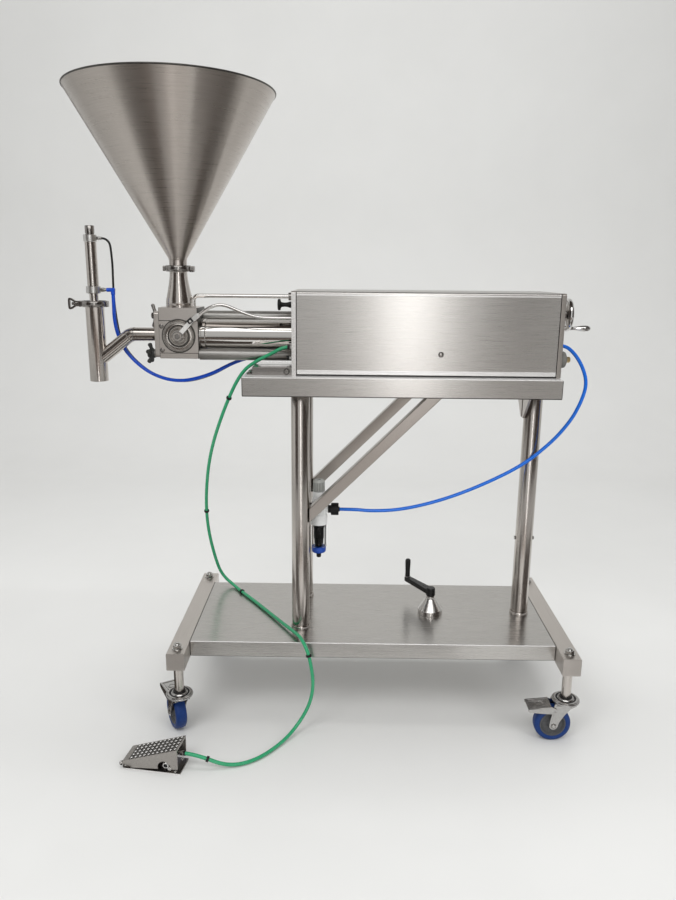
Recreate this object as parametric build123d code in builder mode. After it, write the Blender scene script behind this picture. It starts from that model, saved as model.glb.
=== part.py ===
import math
import os

from build123d import *

os.makedirs("parts", exist_ok=True)

# Driving sizes in millimetres: X along the machine, Y away from the viewer, Z up from the floor.

# Stand
stand_width = 1130.0
beam = 50.0
beam_wall = 3.0
beam_length = 556.0
base_top = 261.0
base_depth = 408.0
base_skirt = 46.0
sheet = 3.0
run_gap = 0.3

# Casters
caster_inset = 32.0
wheel_r = 51.0
wheel_w = 32.0
tyre_round = 9.0
trail = 34.0
swivel_r = 38.0
swivel_top = 130.0
swivel_t = 12.0
stem_r = 13.0
stud_r = 6.0
axle_r = 5.0
fork_t = 3.0
fork_room = 3.0
brake_reach = 108.0
caster_turns = {"front_left": 120.0, "front_right": 180.0, "back_left": 335.0, "back_right": 205.0}

# Columns and braces
left_x = -207.0
left_y = 110.0
right_x = 455.0
column_r = 25.4
column_wall = 3.0
column_slide = 0.4
collar_h = 12.0
collar_r = 28.0
column_foot_gap = 3.0
lift_travel = 200.0
inner_top = 905.0
brace = 30.0
brace_wall = 2.5
brace_foot = 609.0
brace_back_rise = 24.0
gusset_t = 6.0
gusset_reach = 115.0
gusset_drop = 129.0

# Crank
crank_x = 183.0
crank_angle = 123.6
crank_reach = 114.0
crank_base_r = 37.5
crank_neck_r = 12.0
crank_band = 15.0
crank_cone = 40.0
crank_floor = 6.0
crank_shaft_r = 8.0
crank_arm_t = 12.0
grip_r = 8.5
grip_h = 57.0

# Table and casing
table_left = -357.0
table_right = 484.0
table_depth = 360.0
table_top = 1006.0
table_skirt = 51.0
plate_t = 12.0
plate_face = -228.0
plate_h = 220.0
casing_length = 690.0
casing_depth = 280.0
casing_lift = 4.0
casing_sheet = 2.0
casing_screw_x = 382.7
casing_screw_z = 59.7
bolt_rise = 231.0
bracket_reach = 106.0
bracket_inset = 48.0
bracket_w = 70.0
bracket_h = 21.0
port_rise = 77.0
stay_in = 27.0
stay_rise = 30.0
stay_y = 36.0
stay_r = 6.0
stay_bend = 14.0
stay_boss_r = 11.0
stay_boss_w = 20.0
knob_reach = 45.0
knob_neck = 38.0

# Product line
axis_rise = 94.0
valve_x = -545.0
block_w = 108.0
block_d = 100.0
block_drop = 62.0
block_rise = 77.0
rotor_r = 38.0
rotor_chord = 20.0
spindle_r = 10.0
cover_r = 44.0
cover_t = 8.0
lever_reach = 58.0
lever_angle = 47.0
lever_w = 13.0
lever_t = 6.0
cylinder_r = 44.0
cylinder_wall = 3.0
ring_r = 46.0
ring_w = 17.0
tie_r = 16.0
tie_y = 38.0
tie_z = 50.0
tie_stud_r = 7.0
outlet_t = 14.0
pipe_r = 19.05
pipe_wall = 2.0
pipe_bend_x = -690.0
pipe_slope = 38.0
nozzle_x = -789.0
nozzle_r = 25.4
nozzle_wall = 2.0
nozzle_drop = 133.0

# Pipe clamps and hopper
ferrule_r = 32.0
ferrule_t = 5.4
clamp_r = 36.0
clamp_h = 17.0
gasket = 0.6
clamp_bolt_r = 4.0
wing_a = 13.0
wing_b = 16.0
reducer_r = 37.0
neck_r = 24.0
shell = 2.0
skirt_h = 19.0
flare_rise = 85.0
hopper_shift = 5.0
hopper_clamp_rise = 104.0
cone_rise = 128.0
rim_rise = 556.0
rim_r = 275.0
rim_t = 4.0

# Nozzle air cylinder
nozzle_clamp_rise = 83.0
nozzle_head_rise = 29.0
nozzle_head_h = 19.0
nozzle_head_r = 20.0
nozzle_barrel_r = 15.3
nozzle_barrel_h = 119.0
nozzle_cap_r = 18.0
nozzle_cap_h = 19.0
nozzle_stub_r = 12.5
nozzle_stub_h = 24.0
plunger_rod_r = 4.0
plunger_travel = 75.0

# Drive inside the casing
piston_t = 25.0
rod_r = 12.0
drive_r = 45.0
drive_wall = 3.0
drive_length = 279.0
drive_cap = 14.0
tail_r = 8.0
tail_end = 85.0
actuator_y = -74.0
actuator_rise = 53.0
actuator_r = 22.0
actuator_length = 164.0
link_r = 4.5
screw_rise = 65.0
screw_r = 8.0
screw_start = 256.0
stop_x = 366.0
stop_t = 20.0

# Handwheel
screw_reach = 30.0
handwheel_r = 46.0
handwheel_t = 15.0
handwheel_hub_r = 14.0
handle_length = 47.0
handle_r = 9.0

# Regulator
reg_x = -157.0
reg_y = -60.0
reg_z = 615.0
reg_body = 40.0
reg_knob_r = 18.5
reg_knob_h = 40.0
bowl_r = 23.0
bowl_h = 68.0
inlet_r = 5.9
inlet_depth = 12.0

# Foot pedal
pedal_x = -659.0
pedal_y = -408.0
pedal_turn = -8.5
pedal_length = 158.0
pedal_width = 66.0
pedal_slope = 18.5
treadle_t = 5.0
hinge_h = 16.0
pedal_sheet = 3.0
pin_r = 3.0
cheek_low = 15.0
cheek_cut = 18.0
valve_h = 42.0
fit_z = 34.0
pedal_press = 4.0
valve_stem_r = 4.0

# Hoses
hose_r = 5.0
nozzle_hose_r = 5.0
return_hose_r = 3.0

# Derived places
beam_x = stand_width / 2 - beam / 2
beam_bottom = base_top - beam
caster_y = beam_length / 2 - caster_inset
plate_inner = plate_face + plate_t
rear_inner = plate_inner + casing_length
rear_face = rear_inner + plate_t
wheel_hub_x = rear_face + screw_reach
casing_top = table_top + plate_h
axis_z = table_top + axis_rise
block_bottom = axis_z - block_drop
block_top = axis_z + block_rise
nozzle_bottom = axis_z - nozzle_drop
flare_top = block_top + flare_rise
hopper_clamp_z = block_top + hopper_clamp_rise
cone_bottom = block_top + cone_rise
rim_z = block_top + rim_rise
nozzle_clamp_z = axis_z + nozzle_clamp_rise
nozzle_head_z = nozzle_clamp_z + nozzle_head_rise
actuator_z = axis_z + actuator_rise
screw_z = axis_z + screw_rise
hopper_x = valve_x - hopper_shift
block_left = valve_x - block_w / 2
block_right = valve_x + block_w / 2
block_front = -block_d / 2
outlet_face = block_left - outlet_t
under_table = table_top - sheet
column_foot = base_top + collar_h + column_foot_gap
wing_x = nozzle_x - clamp_r - 24.0
handle_tip = wheel_hub_x + 8.0 + handwheel_t + 13.0 + handle_length
turn_rad = math.radians(pedal_turn)
pedal_front = pedal_y + pedal_length * math.sin(turn_rad)
centre_x = (wing_x - wing_a + handle_tip) / 2
centre_y = (pedal_front + caster_y + swivel_r) / 2


def keep(builder, label, place=Location()):
    piece = builder.part.moved(Location((-centre_x, -centre_y, 0.0)) * place)
    piece.label = label
    export_step(piece, "parts/" + label + ".step")


def block(x0, x1, y0, y1, z0, z1, mode=Mode.ADD):
    with Locations(((x0 + x1) / 2, (y0 + y1) / 2, (z0 + z1) / 2)):
        Box(x1 - x0, y1 - y0, z1 - z0, mode=mode)


def rod_x(x0, x1, y, z, r, mode=Mode.ADD):
    with Locations(((x0 + x1) / 2, y, z)):
        Cylinder(r, x1 - x0, rotation=(0, 90, 0), mode=mode)


def rod_y(x, y0, y1, z, r, mode=Mode.ADD):
    with Locations((x, (y0 + y1) / 2, z)):
        Cylinder(r, y1 - y0, rotation=(90, 0, 0), mode=mode)


def rod_z(x, y, z0, z1, r, mode=Mode.ADD):
    with Locations((x, y, (z0 + z1) / 2)):
        Cylinder(r, z1 - z0, mode=mode)


def turned(x, y, profile, mode=Mode.ADD):
    with BuildSketch(Plane(origin=(x, y, 0), x_dir=(1, 0, 0), z_dir=(0, -1, 0))) as outline:
        with BuildLine():
            Polyline(*profile, close=True)
        make_face()
    revolve(outline.sketch, axis=Axis((x, y, 0), (0, 0, 1)), mode=mode)


def slab_y(points, y0, y1, mode=Mode.ADD):
    with BuildSketch(Plane(origin=(0, y0, 0), x_dir=(1, 0, 0), z_dir=(0, -1, 0))) as outline:
        with BuildLine():
            Polyline(*points, close=True)
        make_face()
    extrude(outline.sketch, amount=-(y1 - y0), mode=mode)


# Base tray, a closed folded box between the beams
tray_x = stand_width / 2 - beam
with BuildPart() as base_tray:
    block(-tray_x, tray_x, -base_depth / 2, base_depth / 2, base_top - base_skirt, base_top)
    fillet(base_tray.edges().filter_by(Axis.X).group_by(Axis.Z)[-1], 2.0)
    block(-tray_x + sheet, tray_x - sheet, -base_depth / 2 + sheet, base_depth / 2 - sheet,
          base_top - base_skirt + sheet, base_top - sheet, Mode.SUBTRACT)
keep(base_tray, "base_tray")

# Two square beams that carry the casters
with BuildPart() as beams:
    for side in (-1, 1):
        cx = side * beam_x
        block(cx - beam / 2, cx + beam / 2, -beam_length / 2, beam_length / 2, beam_bottom, base_top)
    fillet(beams.edges().filter_by(Axis.Y), 2.5)
    for side in (-1, 1):
        cx = side * beam_x
        inner = beam / 2 - beam_wall
        block(cx - inner, cx + inner, -beam_length / 2 + beam_wall, beam_length / 2 - beam_wall,
              beam_bottom + beam_wall, base_top - beam_wall, Mode.SUBTRACT)
        for end in (-1, 1):
            rod_z(cx, end * caster_y, beam_bottom - 1, base_top + 1, stud_r + run_gap, Mode.SUBTRACT)
keep(beams, "beams")

# Caster stems with their studs and domed nuts
with BuildPart() as caster_fixings:
    for side in (-1, 1):
        for end in (-1, 1):
            x = side * beam_x
            y = end * caster_y
            rod_z(x, y, swivel_top + 0.6, beam_bottom, stem_r)
            rod_z(x, y, swivel_top - swivel_t - 4, base_top + 4, stud_r)
            rod_z(x, y, swivel_top - swivel_t - 8, swivel_top - swivel_t - 1, stud_r + 5)
            with BuildSketch(Plane(origin=(x, y, base_top))):
                RegularPolygon(10.5, 6)
            extrude(amount=9)
            with Locations((x, y, base_top + 9)):
                Sphere(8.5, arc_size1=0)
keep(caster_fixings, "caster_fixings")

# Inner column tubes with foot collars
inner_r = column_r - column_wall - column_slide
column_places = ((left_x, -left_y), (left_x, left_y), (right_x, 0.0))
with BuildPart() as inner_columns:
    for x, y in column_places:
        rod_z(x, y, base_top, inner_top, inner_r)
        rod_z(x, y, base_top, base_top + collar_h, collar_r)
    for x, y in column_places:
        rod_z(x, y, base_top + sheet, inner_top + 1, inner_r - column_wall, Mode.SUBTRACT)
keep(inner_columns, "inner_columns")

# Crank housing
crank_top = base_top + crank_band + crank_cone
with BuildPart() as crank_housing:
    turned(crank_x, 0, [(0, base_top), (crank_base_r, base_top), (crank_base_r, base_top + crank_band),
                        (crank_neck_r, crank_top), (crank_shaft_r + run_gap, crank_top),
                        (crank_shaft_r + run_gap, base_top + crank_floor), (0, base_top + crank_floor)])
keep(crank_housing, "crank_housing")

# Crank with shaft, arm and the grip's pin
arm_z = crank_top + 8
grip_x = crank_x + crank_reach * math.cos(math.radians(crank_angle))
grip_y = crank_reach * math.sin(math.radians(crank_angle))
arm_plane = Plane(origin=(crank_x, 0, arm_z), x_dir=(math.cos(math.radians(crank_angle)),
                                                     math.sin(math.radians(crank_angle)), 0))
with BuildPart() as crank:
    rod_z(crank_x, 0, base_top + crank_floor + run_gap, arm_z, crank_shaft_r)
    rod_z(crank_x, 0, crank_top + 2, arm_z + crank_arm_t + 6, crank_neck_r + 2)
    with BuildSketch(arm_plane):
        Circle(crank_neck_r + 2)
        with Locations((crank_reach, 0)):
            Circle(grip_r)
        with BuildLine():
            Polyline((0, -crank_neck_r - 2), (crank_reach, -grip_r), (crank_reach, grip_r),
                     (0, crank_neck_r + 2), close=True)
        make_face()
    extrude(amount=crank_arm_t)
    rod_z(grip_x, grip_y, arm_z + crank_arm_t, arm_z + crank_arm_t + 3, grip_r + 1)
    rod_z(grip_x, grip_y, arm_z + crank_arm_t, arm_z + crank_arm_t + grip_h - 6, 4.0)
keep(crank, "crank")

grip_z = arm_z + crank_arm_t + 3 + 0.6
with BuildPart() as crank_grip:
    rod_z(grip_x, grip_y, grip_z, grip_z + grip_h, grip_r)
    fillet(crank_grip.edges().group_by(Axis.Z)[-1], 4.0)
    rod_z(grip_x, grip_y, grip_z - 1, arm_z + crank_arm_t + grip_h - 5.5, 4.0 + run_gap, Mode.SUBTRACT)
keep(crank_grip, "crank_grip")

# Casters in a local frame: swivel axis at the origin, trailing along +X
fork_in = wheel_w / 2 + fork_room
fork_out = fork_in + fork_t
head_low = swivel_top - swivel_t
pivot_z = 95.0
for corner, turn in caster_turns.items():
    at_x = beam_x if "right" in corner else -beam_x
    at_y = caster_y if "back" in corner else -caster_y
    place = Location((at_x, at_y, 0), (0, 0, turn))
    with BuildPart() as fork:
        rod_z(0, 0, head_low, swivel_top, swivel_r)
        fillet(fork.edges().group_by(Axis.Z)[-1], 3.0)
        for side in (-1, 1):
            y0 = side * (fork_in + fork_out) / 2 - fork_t / 2
            outline = [(-26, head_low), (34, head_low), (trail + 12, wheel_r), (trail - 12, wheel_r)]
            slab_y(outline, y0, y0 + fork_t)
            rod_y(trail, y0, y0 + fork_t, wheel_r, 12.0)
        rod_y(trail, -fork_out - 4, fork_out + 4, wheel_r, axle_r)
        rod_y(trail, -fork_out - 4, -fork_out, wheel_r, axle_r + 3)
        rod_y(trail, fork_out, fork_out + 4, wheel_r, axle_r + 3)
        rod_z(0, 0, head_low - 1, swivel_top + 1, stud_r + run_gap, Mode.SUBTRACT)
        rod_y(trail, -fork_out - 1, -fork_in + 1, pivot_z, 3.0 + run_gap, Mode.SUBTRACT)
        rod_y(trail, fork_in - 1, fork_out + 1, pivot_z, 3.0 + run_gap, Mode.SUBTRACT)
    keep(fork, "caster_fork_" + corner, place)
    with BuildPart() as wheel:
        rod_y(trail, -wheel_w / 2, wheel_w / 2, wheel_r, wheel_r)
        fillet(wheel.edges().filter_by(GeomType.CIRCLE), tyre_round)
        for side in (-1, 1):
            face = side * wheel_w / 2
            rod_y(trail, min(face, face - side * 4), max(face, face - side * 4), wheel_r, wheel_r * 0.66,
                  Mode.SUBTRACT)
        hub_half = fork_in - 0.6
        rod_y(trail, -hub_half, hub_half, wheel_r, 12.0)
        rod_y(trail, -hub_half - 1, hub_half + 1, wheel_r, axle_r + run_gap, Mode.SUBTRACT)
    keep(wheel, "caster_wheel_" + corner, place)
    with BuildPart() as brake:
        tab_in = fork_out + 0.6
        tab_out = tab_in + fork_t
        for side in (-1, 1):
            y0 = side * (tab_in + tab_out) / 2 - fork_t / 2
            outline = [(26, 98), (trail, 89), (62, 97), (brake_reach, 101), (brake_reach, 105), (44, 112),
                       (30, 105)]
            slab_y(outline, y0, y0 + fork_t)
            pin = (fork_in + 0.6, tab_in)
            rod_y(trail, min(side * pin[0], side * pin[1]), max(side * pin[0], side * pin[1]), pivot_z, 3.0)
        slab_y([(44, 112), (brake_reach, 105), (brake_reach, 101.5), (44, 108.5)], -tab_out, tab_out)
    keep(brake, "brake_pedal_" + corner, place)

# Table tray, open underneath
with BuildPart() as table:
    block(table_left, table_right, -table_depth / 2, table_depth / 2, table_top - table_skirt, table_top)
    fillet(table.edges().group_by(Axis.Z)[-1], 2.0)
    block(table_left + sheet, table_right - sheet, -table_depth / 2 + sheet, table_depth / 2 - sheet,
          table_top - table_skirt - 1, under_table, Mode.SUBTRACT)
keep(table, "table")

# Outer column tubes
with BuildPart() as outer_columns:
    for x, y in column_places:
        rod_z(x, y, column_foot, under_table, column_r)
    for x, y in column_places:
        rod_z(x, y, column_foot - 1, under_table - sheet, column_r - column_wall, Mode.SUBTRACT)
keep(outer_columns, "outer_columns")

# Diagonal braces and the right column's gussets
column_side = left_x + column_r
brace_length = (under_table - brace_foot) * math.sqrt(2.0) + 6 * brace
with BuildPart() as stiffeners:
    for side, rise in ((-1, 0.0), (1, brace_back_rise)):
        start = (column_side - brace, side * left_y, brace_foot + rise - brace)
        with BuildSketch(Plane(origin=start, x_dir=(0, 1, 0), z_dir=(1, 0, 1))):
            RectangleRounded(brace, brace, 2.5)
            Rectangle(brace - 2 * brace_wall, brace - 2 * brace_wall, mode=Mode.SUBTRACT)
        extrude(amount=brace_length)
        block(column_side - 4 * brace, column_side + 0.3, side * left_y - brace, side * left_y + brace,
              brace_foot - 6 * brace, under_table, Mode.SUBTRACT)
    block(table_left, table_right, -table_depth, table_depth, under_table, under_table + 8 * brace,
          Mode.SUBTRACT)
    gusset_x = right_x - column_r - gusset_t
    for side in (-1, 1):
        with BuildSketch(Plane.YZ.offset(gusset_x)):
            with BuildLine():
                Polyline((side * 6, under_table), (side * gusset_reach, under_table),
                         (side * gusset_reach, under_table - 22), (side * 14, under_table - gusset_drop),
                         (side * 6, under_table - gusset_drop), close=True)
            make_face()
        extrude(amount=gusset_t)
keep(stiffeners, "stiffeners")

# Front plate with the openings for rods, studs and the link rod
half_casing = casing_depth / 2
knob_y = -30.0
knob_z = casing_top - 39.0
with BuildPart() as front_plate:
    block(plate_face, plate_inner, -half_casing, half_casing, table_top, casing_top)
    fillet(front_plate.edges().filter_by(Axis.X).group_by(Axis.Z)[-1], 6.0)
    x0 = plate_face - 1
    x1 = plate_inner + 1
    rod_x(x0, x1, 0, axis_z, rod_r + run_gap, Mode.SUBTRACT)
    rod_x(x0, x1, tie_y, axis_z + tie_z, tie_stud_r + run_gap, Mode.SUBTRACT)
    rod_x(x0, x1, -tie_y, axis_z - tie_z, tie_stud_r + run_gap, Mode.SUBTRACT)
    rod_x(x0, x1, actuator_y, actuator_z, link_r + run_gap, Mode.SUBTRACT)
    rod_x(x0, x1, knob_y, knob_z, 5.0 + run_gap, Mode.SUBTRACT)
keep(front_plate, "front_plate")

# Rear plate with the screw's bushing
with BuildPart() as rear_plate:
    block(rear_inner, rear_face, -half_casing, half_casing, table_top, casing_top)
    fillet(rear_plate.edges().filter_by(Axis.X).group_by(Axis.Z)[-1], 6.0)
    rod_x(rear_face, wheel_hub_x - 1, 0, screw_z, screw_r + 7)
    rod_x(rear_inner - 1, wheel_hub_x, 0, screw_z, screw_r + run_gap, Mode.SUBTRACT)
keep(rear_plate, "rear_plate")

# Casing, a folded cover between the plates
with BuildPart() as casing:
    block(plate_inner, rear_inner, -half_casing, half_casing, table_top + casing_lift, casing_top)
    fillet(casing.edges().filter_by(Axis.X).group_by(Axis.Z)[-1], 6.0)
    block(plate_inner - 1, rear_inner + 1, -half_casing + casing_sheet, half_casing - casing_sheet,
          table_top + casing_lift - 1, casing_top - casing_sheet, Mode.SUBTRACT)
keep(casing, "casing")

# Support bracket, a folded channel from the table to the front plate
bracket_left = plate_face - bracket_reach
bracket_front = -table_depth / 2 + bracket_inset
bracket_back = bracket_front + bracket_w
bracket_top = table_top + bracket_h
with BuildPart() as support_bracket:
    block(bracket_left, plate_face, bracket_front, bracket_back, table_top, bracket_top)
    block(bracket_left - 1, plate_face + 1, bracket_front + sheet, bracket_back - sheet, table_top - 1,
          bracket_top - sheet, Mode.SUBTRACT)
    block(bracket_left - 15, bracket_left, bracket_front, bracket_back, table_top, table_top + sheet)
    block(bracket_left, bracket_left + sheet, bracket_front, bracket_back, table_top, bracket_top)
keep(support_bracket, "support_bracket")

# Bolts and screws
with BuildPart() as fasteners:
    for y in (bracket_front + 14, bracket_back - 14):
        with BuildSketch(Plane(origin=(bracket_left - 8, y, table_top + sheet))):
            RegularPolygon(6.5, 6)
        extrude(amount=5)
    with BuildSketch(Plane(origin=(plate_face - 14, bracket_front, table_top + 10), x_dir=(1, 0, 0),
                           z_dir=(0, -1, 0))):
        RegularPolygon(6.5, 6)
    extrude(amount=5)
    rod_y(plate_inner + casing_screw_x, -half_casing - 3, -half_casing, table_top + casing_screw_z, 6.5)
    rod_x(right_x - column_r - 4, right_x - column_r, 0, column_foot + bolt_rise, 6.0)
    rod_x(right_x + column_r, right_x + column_r + 4, 0, column_foot + bolt_rise, 6.0)
keep(fasteners, "fasteners")

# Air fittings on the plates and on the nozzle cylinder
port_y = -45.0
port_z = table_top + port_rise
exhaust_y = -114.0
front_port = plate_face - 16.0
pedal_port_y = -70.0
pedal_port_z = axis_z - 25.0
nozzle_port = plate_face - 14.0
nozzle_port_z = table_top + 39.0
blue_port_y = -2.0
black_port_y = 14.0
elbow_x = nozzle_x + 54.0
return_x = nozzle_x + 32.0
low_z = nozzle_head_z + nozzle_head_h / 2
high_z = nozzle_head_z + nozzle_head_h + nozzle_barrel_h + nozzle_cap_h / 2
with BuildPart() as air_fittings:
    rod_x(rear_face, rear_face + 5, port_y, port_z, 8.0)
    rod_x(rear_face, rear_face + 18, exhaust_y, table_top + 47, 22.0)
    rod_x(rear_face + 18, rear_face + 28, exhaust_y, table_top + 47, 8.0)
    rod_x(rear_face, rear_face + 8, exhaust_y + 6, table_top + 10, 4.0)
    rod_x(front_port, plate_face, pedal_port_y, pedal_port_z, 8.0)
    rod_x(plate_face - 18, plate_face, pedal_port_y - 6, nozzle_port_z + 1, 7.0)
    rod_x(nozzle_port, plate_face, blue_port_y, nozzle_port_z, 6.0)
    rod_x(nozzle_port, plate_face, black_port_y, nozzle_port_z, 6.0)
    rod_x(nozzle_x + nozzle_head_r, elbow_x, 0, low_z, 5.0)
    rod_z(elbow_x, 0, low_z - 14, low_z + 6, 6.0)
    rod_x(nozzle_x + nozzle_cap_r, return_x, 0, high_z, 5.0)
keep(air_fittings, "air_fittings")

# Drive air cylinder behind the front plate
drive_end = plate_inner + drive_length
with BuildPart() as air_cylinder:
    rod_x(plate_inner, drive_end, 0, axis_z, drive_r)
    rod_x(plate_inner + drive_cap, drive_end - drive_cap, 0, axis_z, drive_r - drive_wall, Mode.SUBTRACT)
    rod_x(plate_inner - 1, plate_inner + drive_cap + 1, 0, axis_z, rod_r + run_gap, Mode.SUBTRACT)
    rod_x(drive_end - drive_cap - 1, drive_end + 1, 0, axis_z, tail_r + run_gap, Mode.SUBTRACT)
keep(air_cylinder, "air_cylinder")

# Product piston, rod, drive piston and tail rod
piston_x = block_right + 4.0
drive_x = plate_inner + drive_cap + 10.0
with BuildPart() as piston:
    rod_x(piston_x, piston_x + piston_t, 0, axis_z, cylinder_r - cylinder_wall - run_gap)
    rod_x(piston_x + piston_t, drive_x, 0, axis_z, rod_r)
    rod_x(drive_x, drive_x + 20, 0, axis_z, drive_r - drive_wall - run_gap)
    rod_x(drive_x + 20, tail_end, 0, axis_z, tail_r)
keep(piston, "piston")

# Valve actuator, a small air cylinder beside the drive
actuator_end = plate_inner + actuator_length
with BuildPart() as valve_actuator:
    rod_x(plate_inner, actuator_end, actuator_y, actuator_z, actuator_r)
    rod_x(plate_inner + 10, actuator_end - 8, actuator_y, actuator_z, actuator_r - 3, Mode.SUBTRACT)
    rod_x(plate_inner - 1, plate_inner + 11, actuator_y, actuator_z, link_r + run_gap, Mode.SUBTRACT)
keep(valve_actuator, "valve_actuator")

# Link rod from the actuator's piston to the valve lever's pin
lever_dx = lever_reach * math.cos(math.radians(lever_angle))
lever_dz = lever_reach * math.sin(math.radians(lever_angle))
pin_x = valve_x + lever_dx
pin_z = axis_z + lever_dz
link_points = [(pin_x + 6, actuator_y, pin_z + 5), (pin_x + 62, actuator_y, block_top + 4),
               (pin_x + 102, actuator_y, block_top + 7), (pin_x + 190, actuator_y, actuator_z),
               (plate_face + 40, actuator_y, actuator_z)]
piston_end = actuator_end - 12
with BuildPart() as link_rod:
    with BuildLine() as link_path:
        FilletPolyline(*link_points, radius=38)
    with BuildSketch(Plane(origin=link_path.line @ 0, z_dir=link_path.line % 0)):
        Circle(link_r)
    sweep()
    rod_x(plate_face + 40, piston_end, actuator_y, actuator_z, link_r)
    rod_x(piston_end - 14, piston_end, actuator_y, actuator_z, actuator_r - 3 - run_gap)
    with Locations(Location((pin_x, actuator_y, pin_z), (0, -40, 0))):
        Box(22, 11, 13)
keep(link_rod, "link_rod")

# Valve block with the rotor's bore, three ports and the front cover
with BuildPart() as valve_block:
    block(block_left, block_right, block_front, -block_front, block_bottom, block_top)
    fillet(valve_block.edges().filter_by(Axis.Z), 2.0)
    rod_y(valve_x, block_front - cover_t, block_front, axis_z, cover_r)
    rod_y(valve_x, block_front, -block_front + 1, axis_z, rotor_r, Mode.SUBTRACT)
    rod_y(valve_x, block_front - cover_t - 1, block_front + 1, axis_z, spindle_r + run_gap, Mode.SUBTRACT)
    rod_x(valve_x, block_right + 1, 0, axis_z, 26.0, Mode.SUBTRACT)
    rod_x(block_left - 1, valve_x, 0, axis_z, pipe_r - pipe_wall, Mode.SUBTRACT)
    rod_z(hopper_x, 0, axis_z, block_top + 1, neck_r - shell, Mode.SUBTRACT)
    rod_x(block_left - 1, block_right + 1, tie_y, axis_z + tie_z, tie_stud_r + run_gap, Mode.SUBTRACT)
    rod_x(block_left - 1, block_right + 1, -tie_y, axis_z - tie_z, tie_stud_r + run_gap, Mode.SUBTRACT)
keep(valve_block, "valve_block")

# Valve rotor with spindle and lever
lever_y0 = block_front - cover_t - 2 - lever_t
with BuildPart() as valve_rotor:
    rod_y(valve_x, block_front + 0.4, -block_front - 1, axis_z, rotor_r - run_gap)
    block(valve_x - rotor_r, valve_x + rotor_r, block_front + 10, -block_front - 10,
          axis_z - rotor_r, axis_z + rotor_chord, Mode.SUBTRACT)
    rod_y(valve_x, lever_y0, block_front + 0.4, axis_z, spindle_r)
    rod_y(valve_x, lever_y0 - 3, lever_y0 + lever_t, axis_z, spindle_r + 4)
    with Locations(Location((valve_x + lever_dx / 2, lever_y0 + lever_t / 2, axis_z + lever_dz / 2),
                            (0, -lever_angle, 0))):
        Box(lever_reach, lever_t, lever_w)
    rod_y(pin_x, lever_y0, lever_y0 + lever_t, pin_z, lever_w / 2)
keep(valve_rotor, "valve_rotor")

# Product cylinder with its end ring
with BuildPart() as product_cylinder:
    rod_x(block_right, plate_face, 0, axis_z, cylinder_r)
    rod_x(block_right, block_right + ring_w, 0, axis_z, ring_r)
    rod_x(block_right - 1, plate_face + 1, 0, axis_z, cylinder_r - cylinder_wall, Mode.SUBTRACT)
keep(product_cylinder, "product_cylinder")

# Two tie rods with studs through the block and the outlet plate
knob_face = outlet_face - 1.0
with BuildPart() as tie_rods:
    for side in (-1, 1):
        y = side * tie_y
        z = axis_z + side * tie_z
        rod_x(block_right, plate_face, y, z, tie_r)
    fillet(tie_rods.edges().filter_by(GeomType.CIRCLE).group_by(Axis.X)[0], 4.0)
    for side in (-1, 1):
        y = side * tie_y
        z = axis_z + side * tie_z
        rod_x(knob_face - 12, plate_inner, y, z, tie_stud_r)
keep(tie_rods, "tie_rods")

# Star knob at the lower tie rod and wing knob at the upper one
with BuildPart() as star_knob:
    star_face = (knob_face - 22, -tie_y, axis_z - tie_z)
    with BuildSketch(Plane(origin=star_face, x_dir=(0, 1, 0), z_dir=(1, 0, 0))):
        Circle(14)
        with PolarLocations(20, 4):
            Circle(9)
        Rectangle(40, 14)
        Rectangle(14, 40)
    extrude(amount=22)
    fillet(star_knob.edges().group_by(Axis.X)[0], 3.0)
    rod_x(knob_face - 12.5, knob_face + 1, -tie_y, axis_z - tie_z, tie_stud_r + run_gap, Mode.SUBTRACT)
keep(star_knob, "star_knob")

with BuildPart() as wing_knob:
    rod_x(knob_face - 20, knob_face, tie_y, axis_z + tie_z, 13.0)
    with BuildSketch(Plane(origin=(0, tie_y + 4, axis_z + tie_z), x_dir=(1, 0, 0), z_dir=(0, -1, 0))):
        with BuildLine():
            Polyline((knob_face - 20, -8), (knob_face - 26, 30), (knob_face - 12, 34), (knob_face - 2, 8),
                     close=True)
        make_face()
        with BuildLine():
            Polyline((knob_face - 20, 8), (knob_face - 26, -30), (knob_face - 12, -34), (knob_face - 2, -8),
                     close=True)
        make_face()
    extrude(amount=8)
    rod_x(knob_face - 12.5, knob_face + 1, tie_y, axis_z + tie_z, tie_stud_r + run_gap, Mode.SUBTRACT)
keep(wing_knob, "wing_knob")

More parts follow.
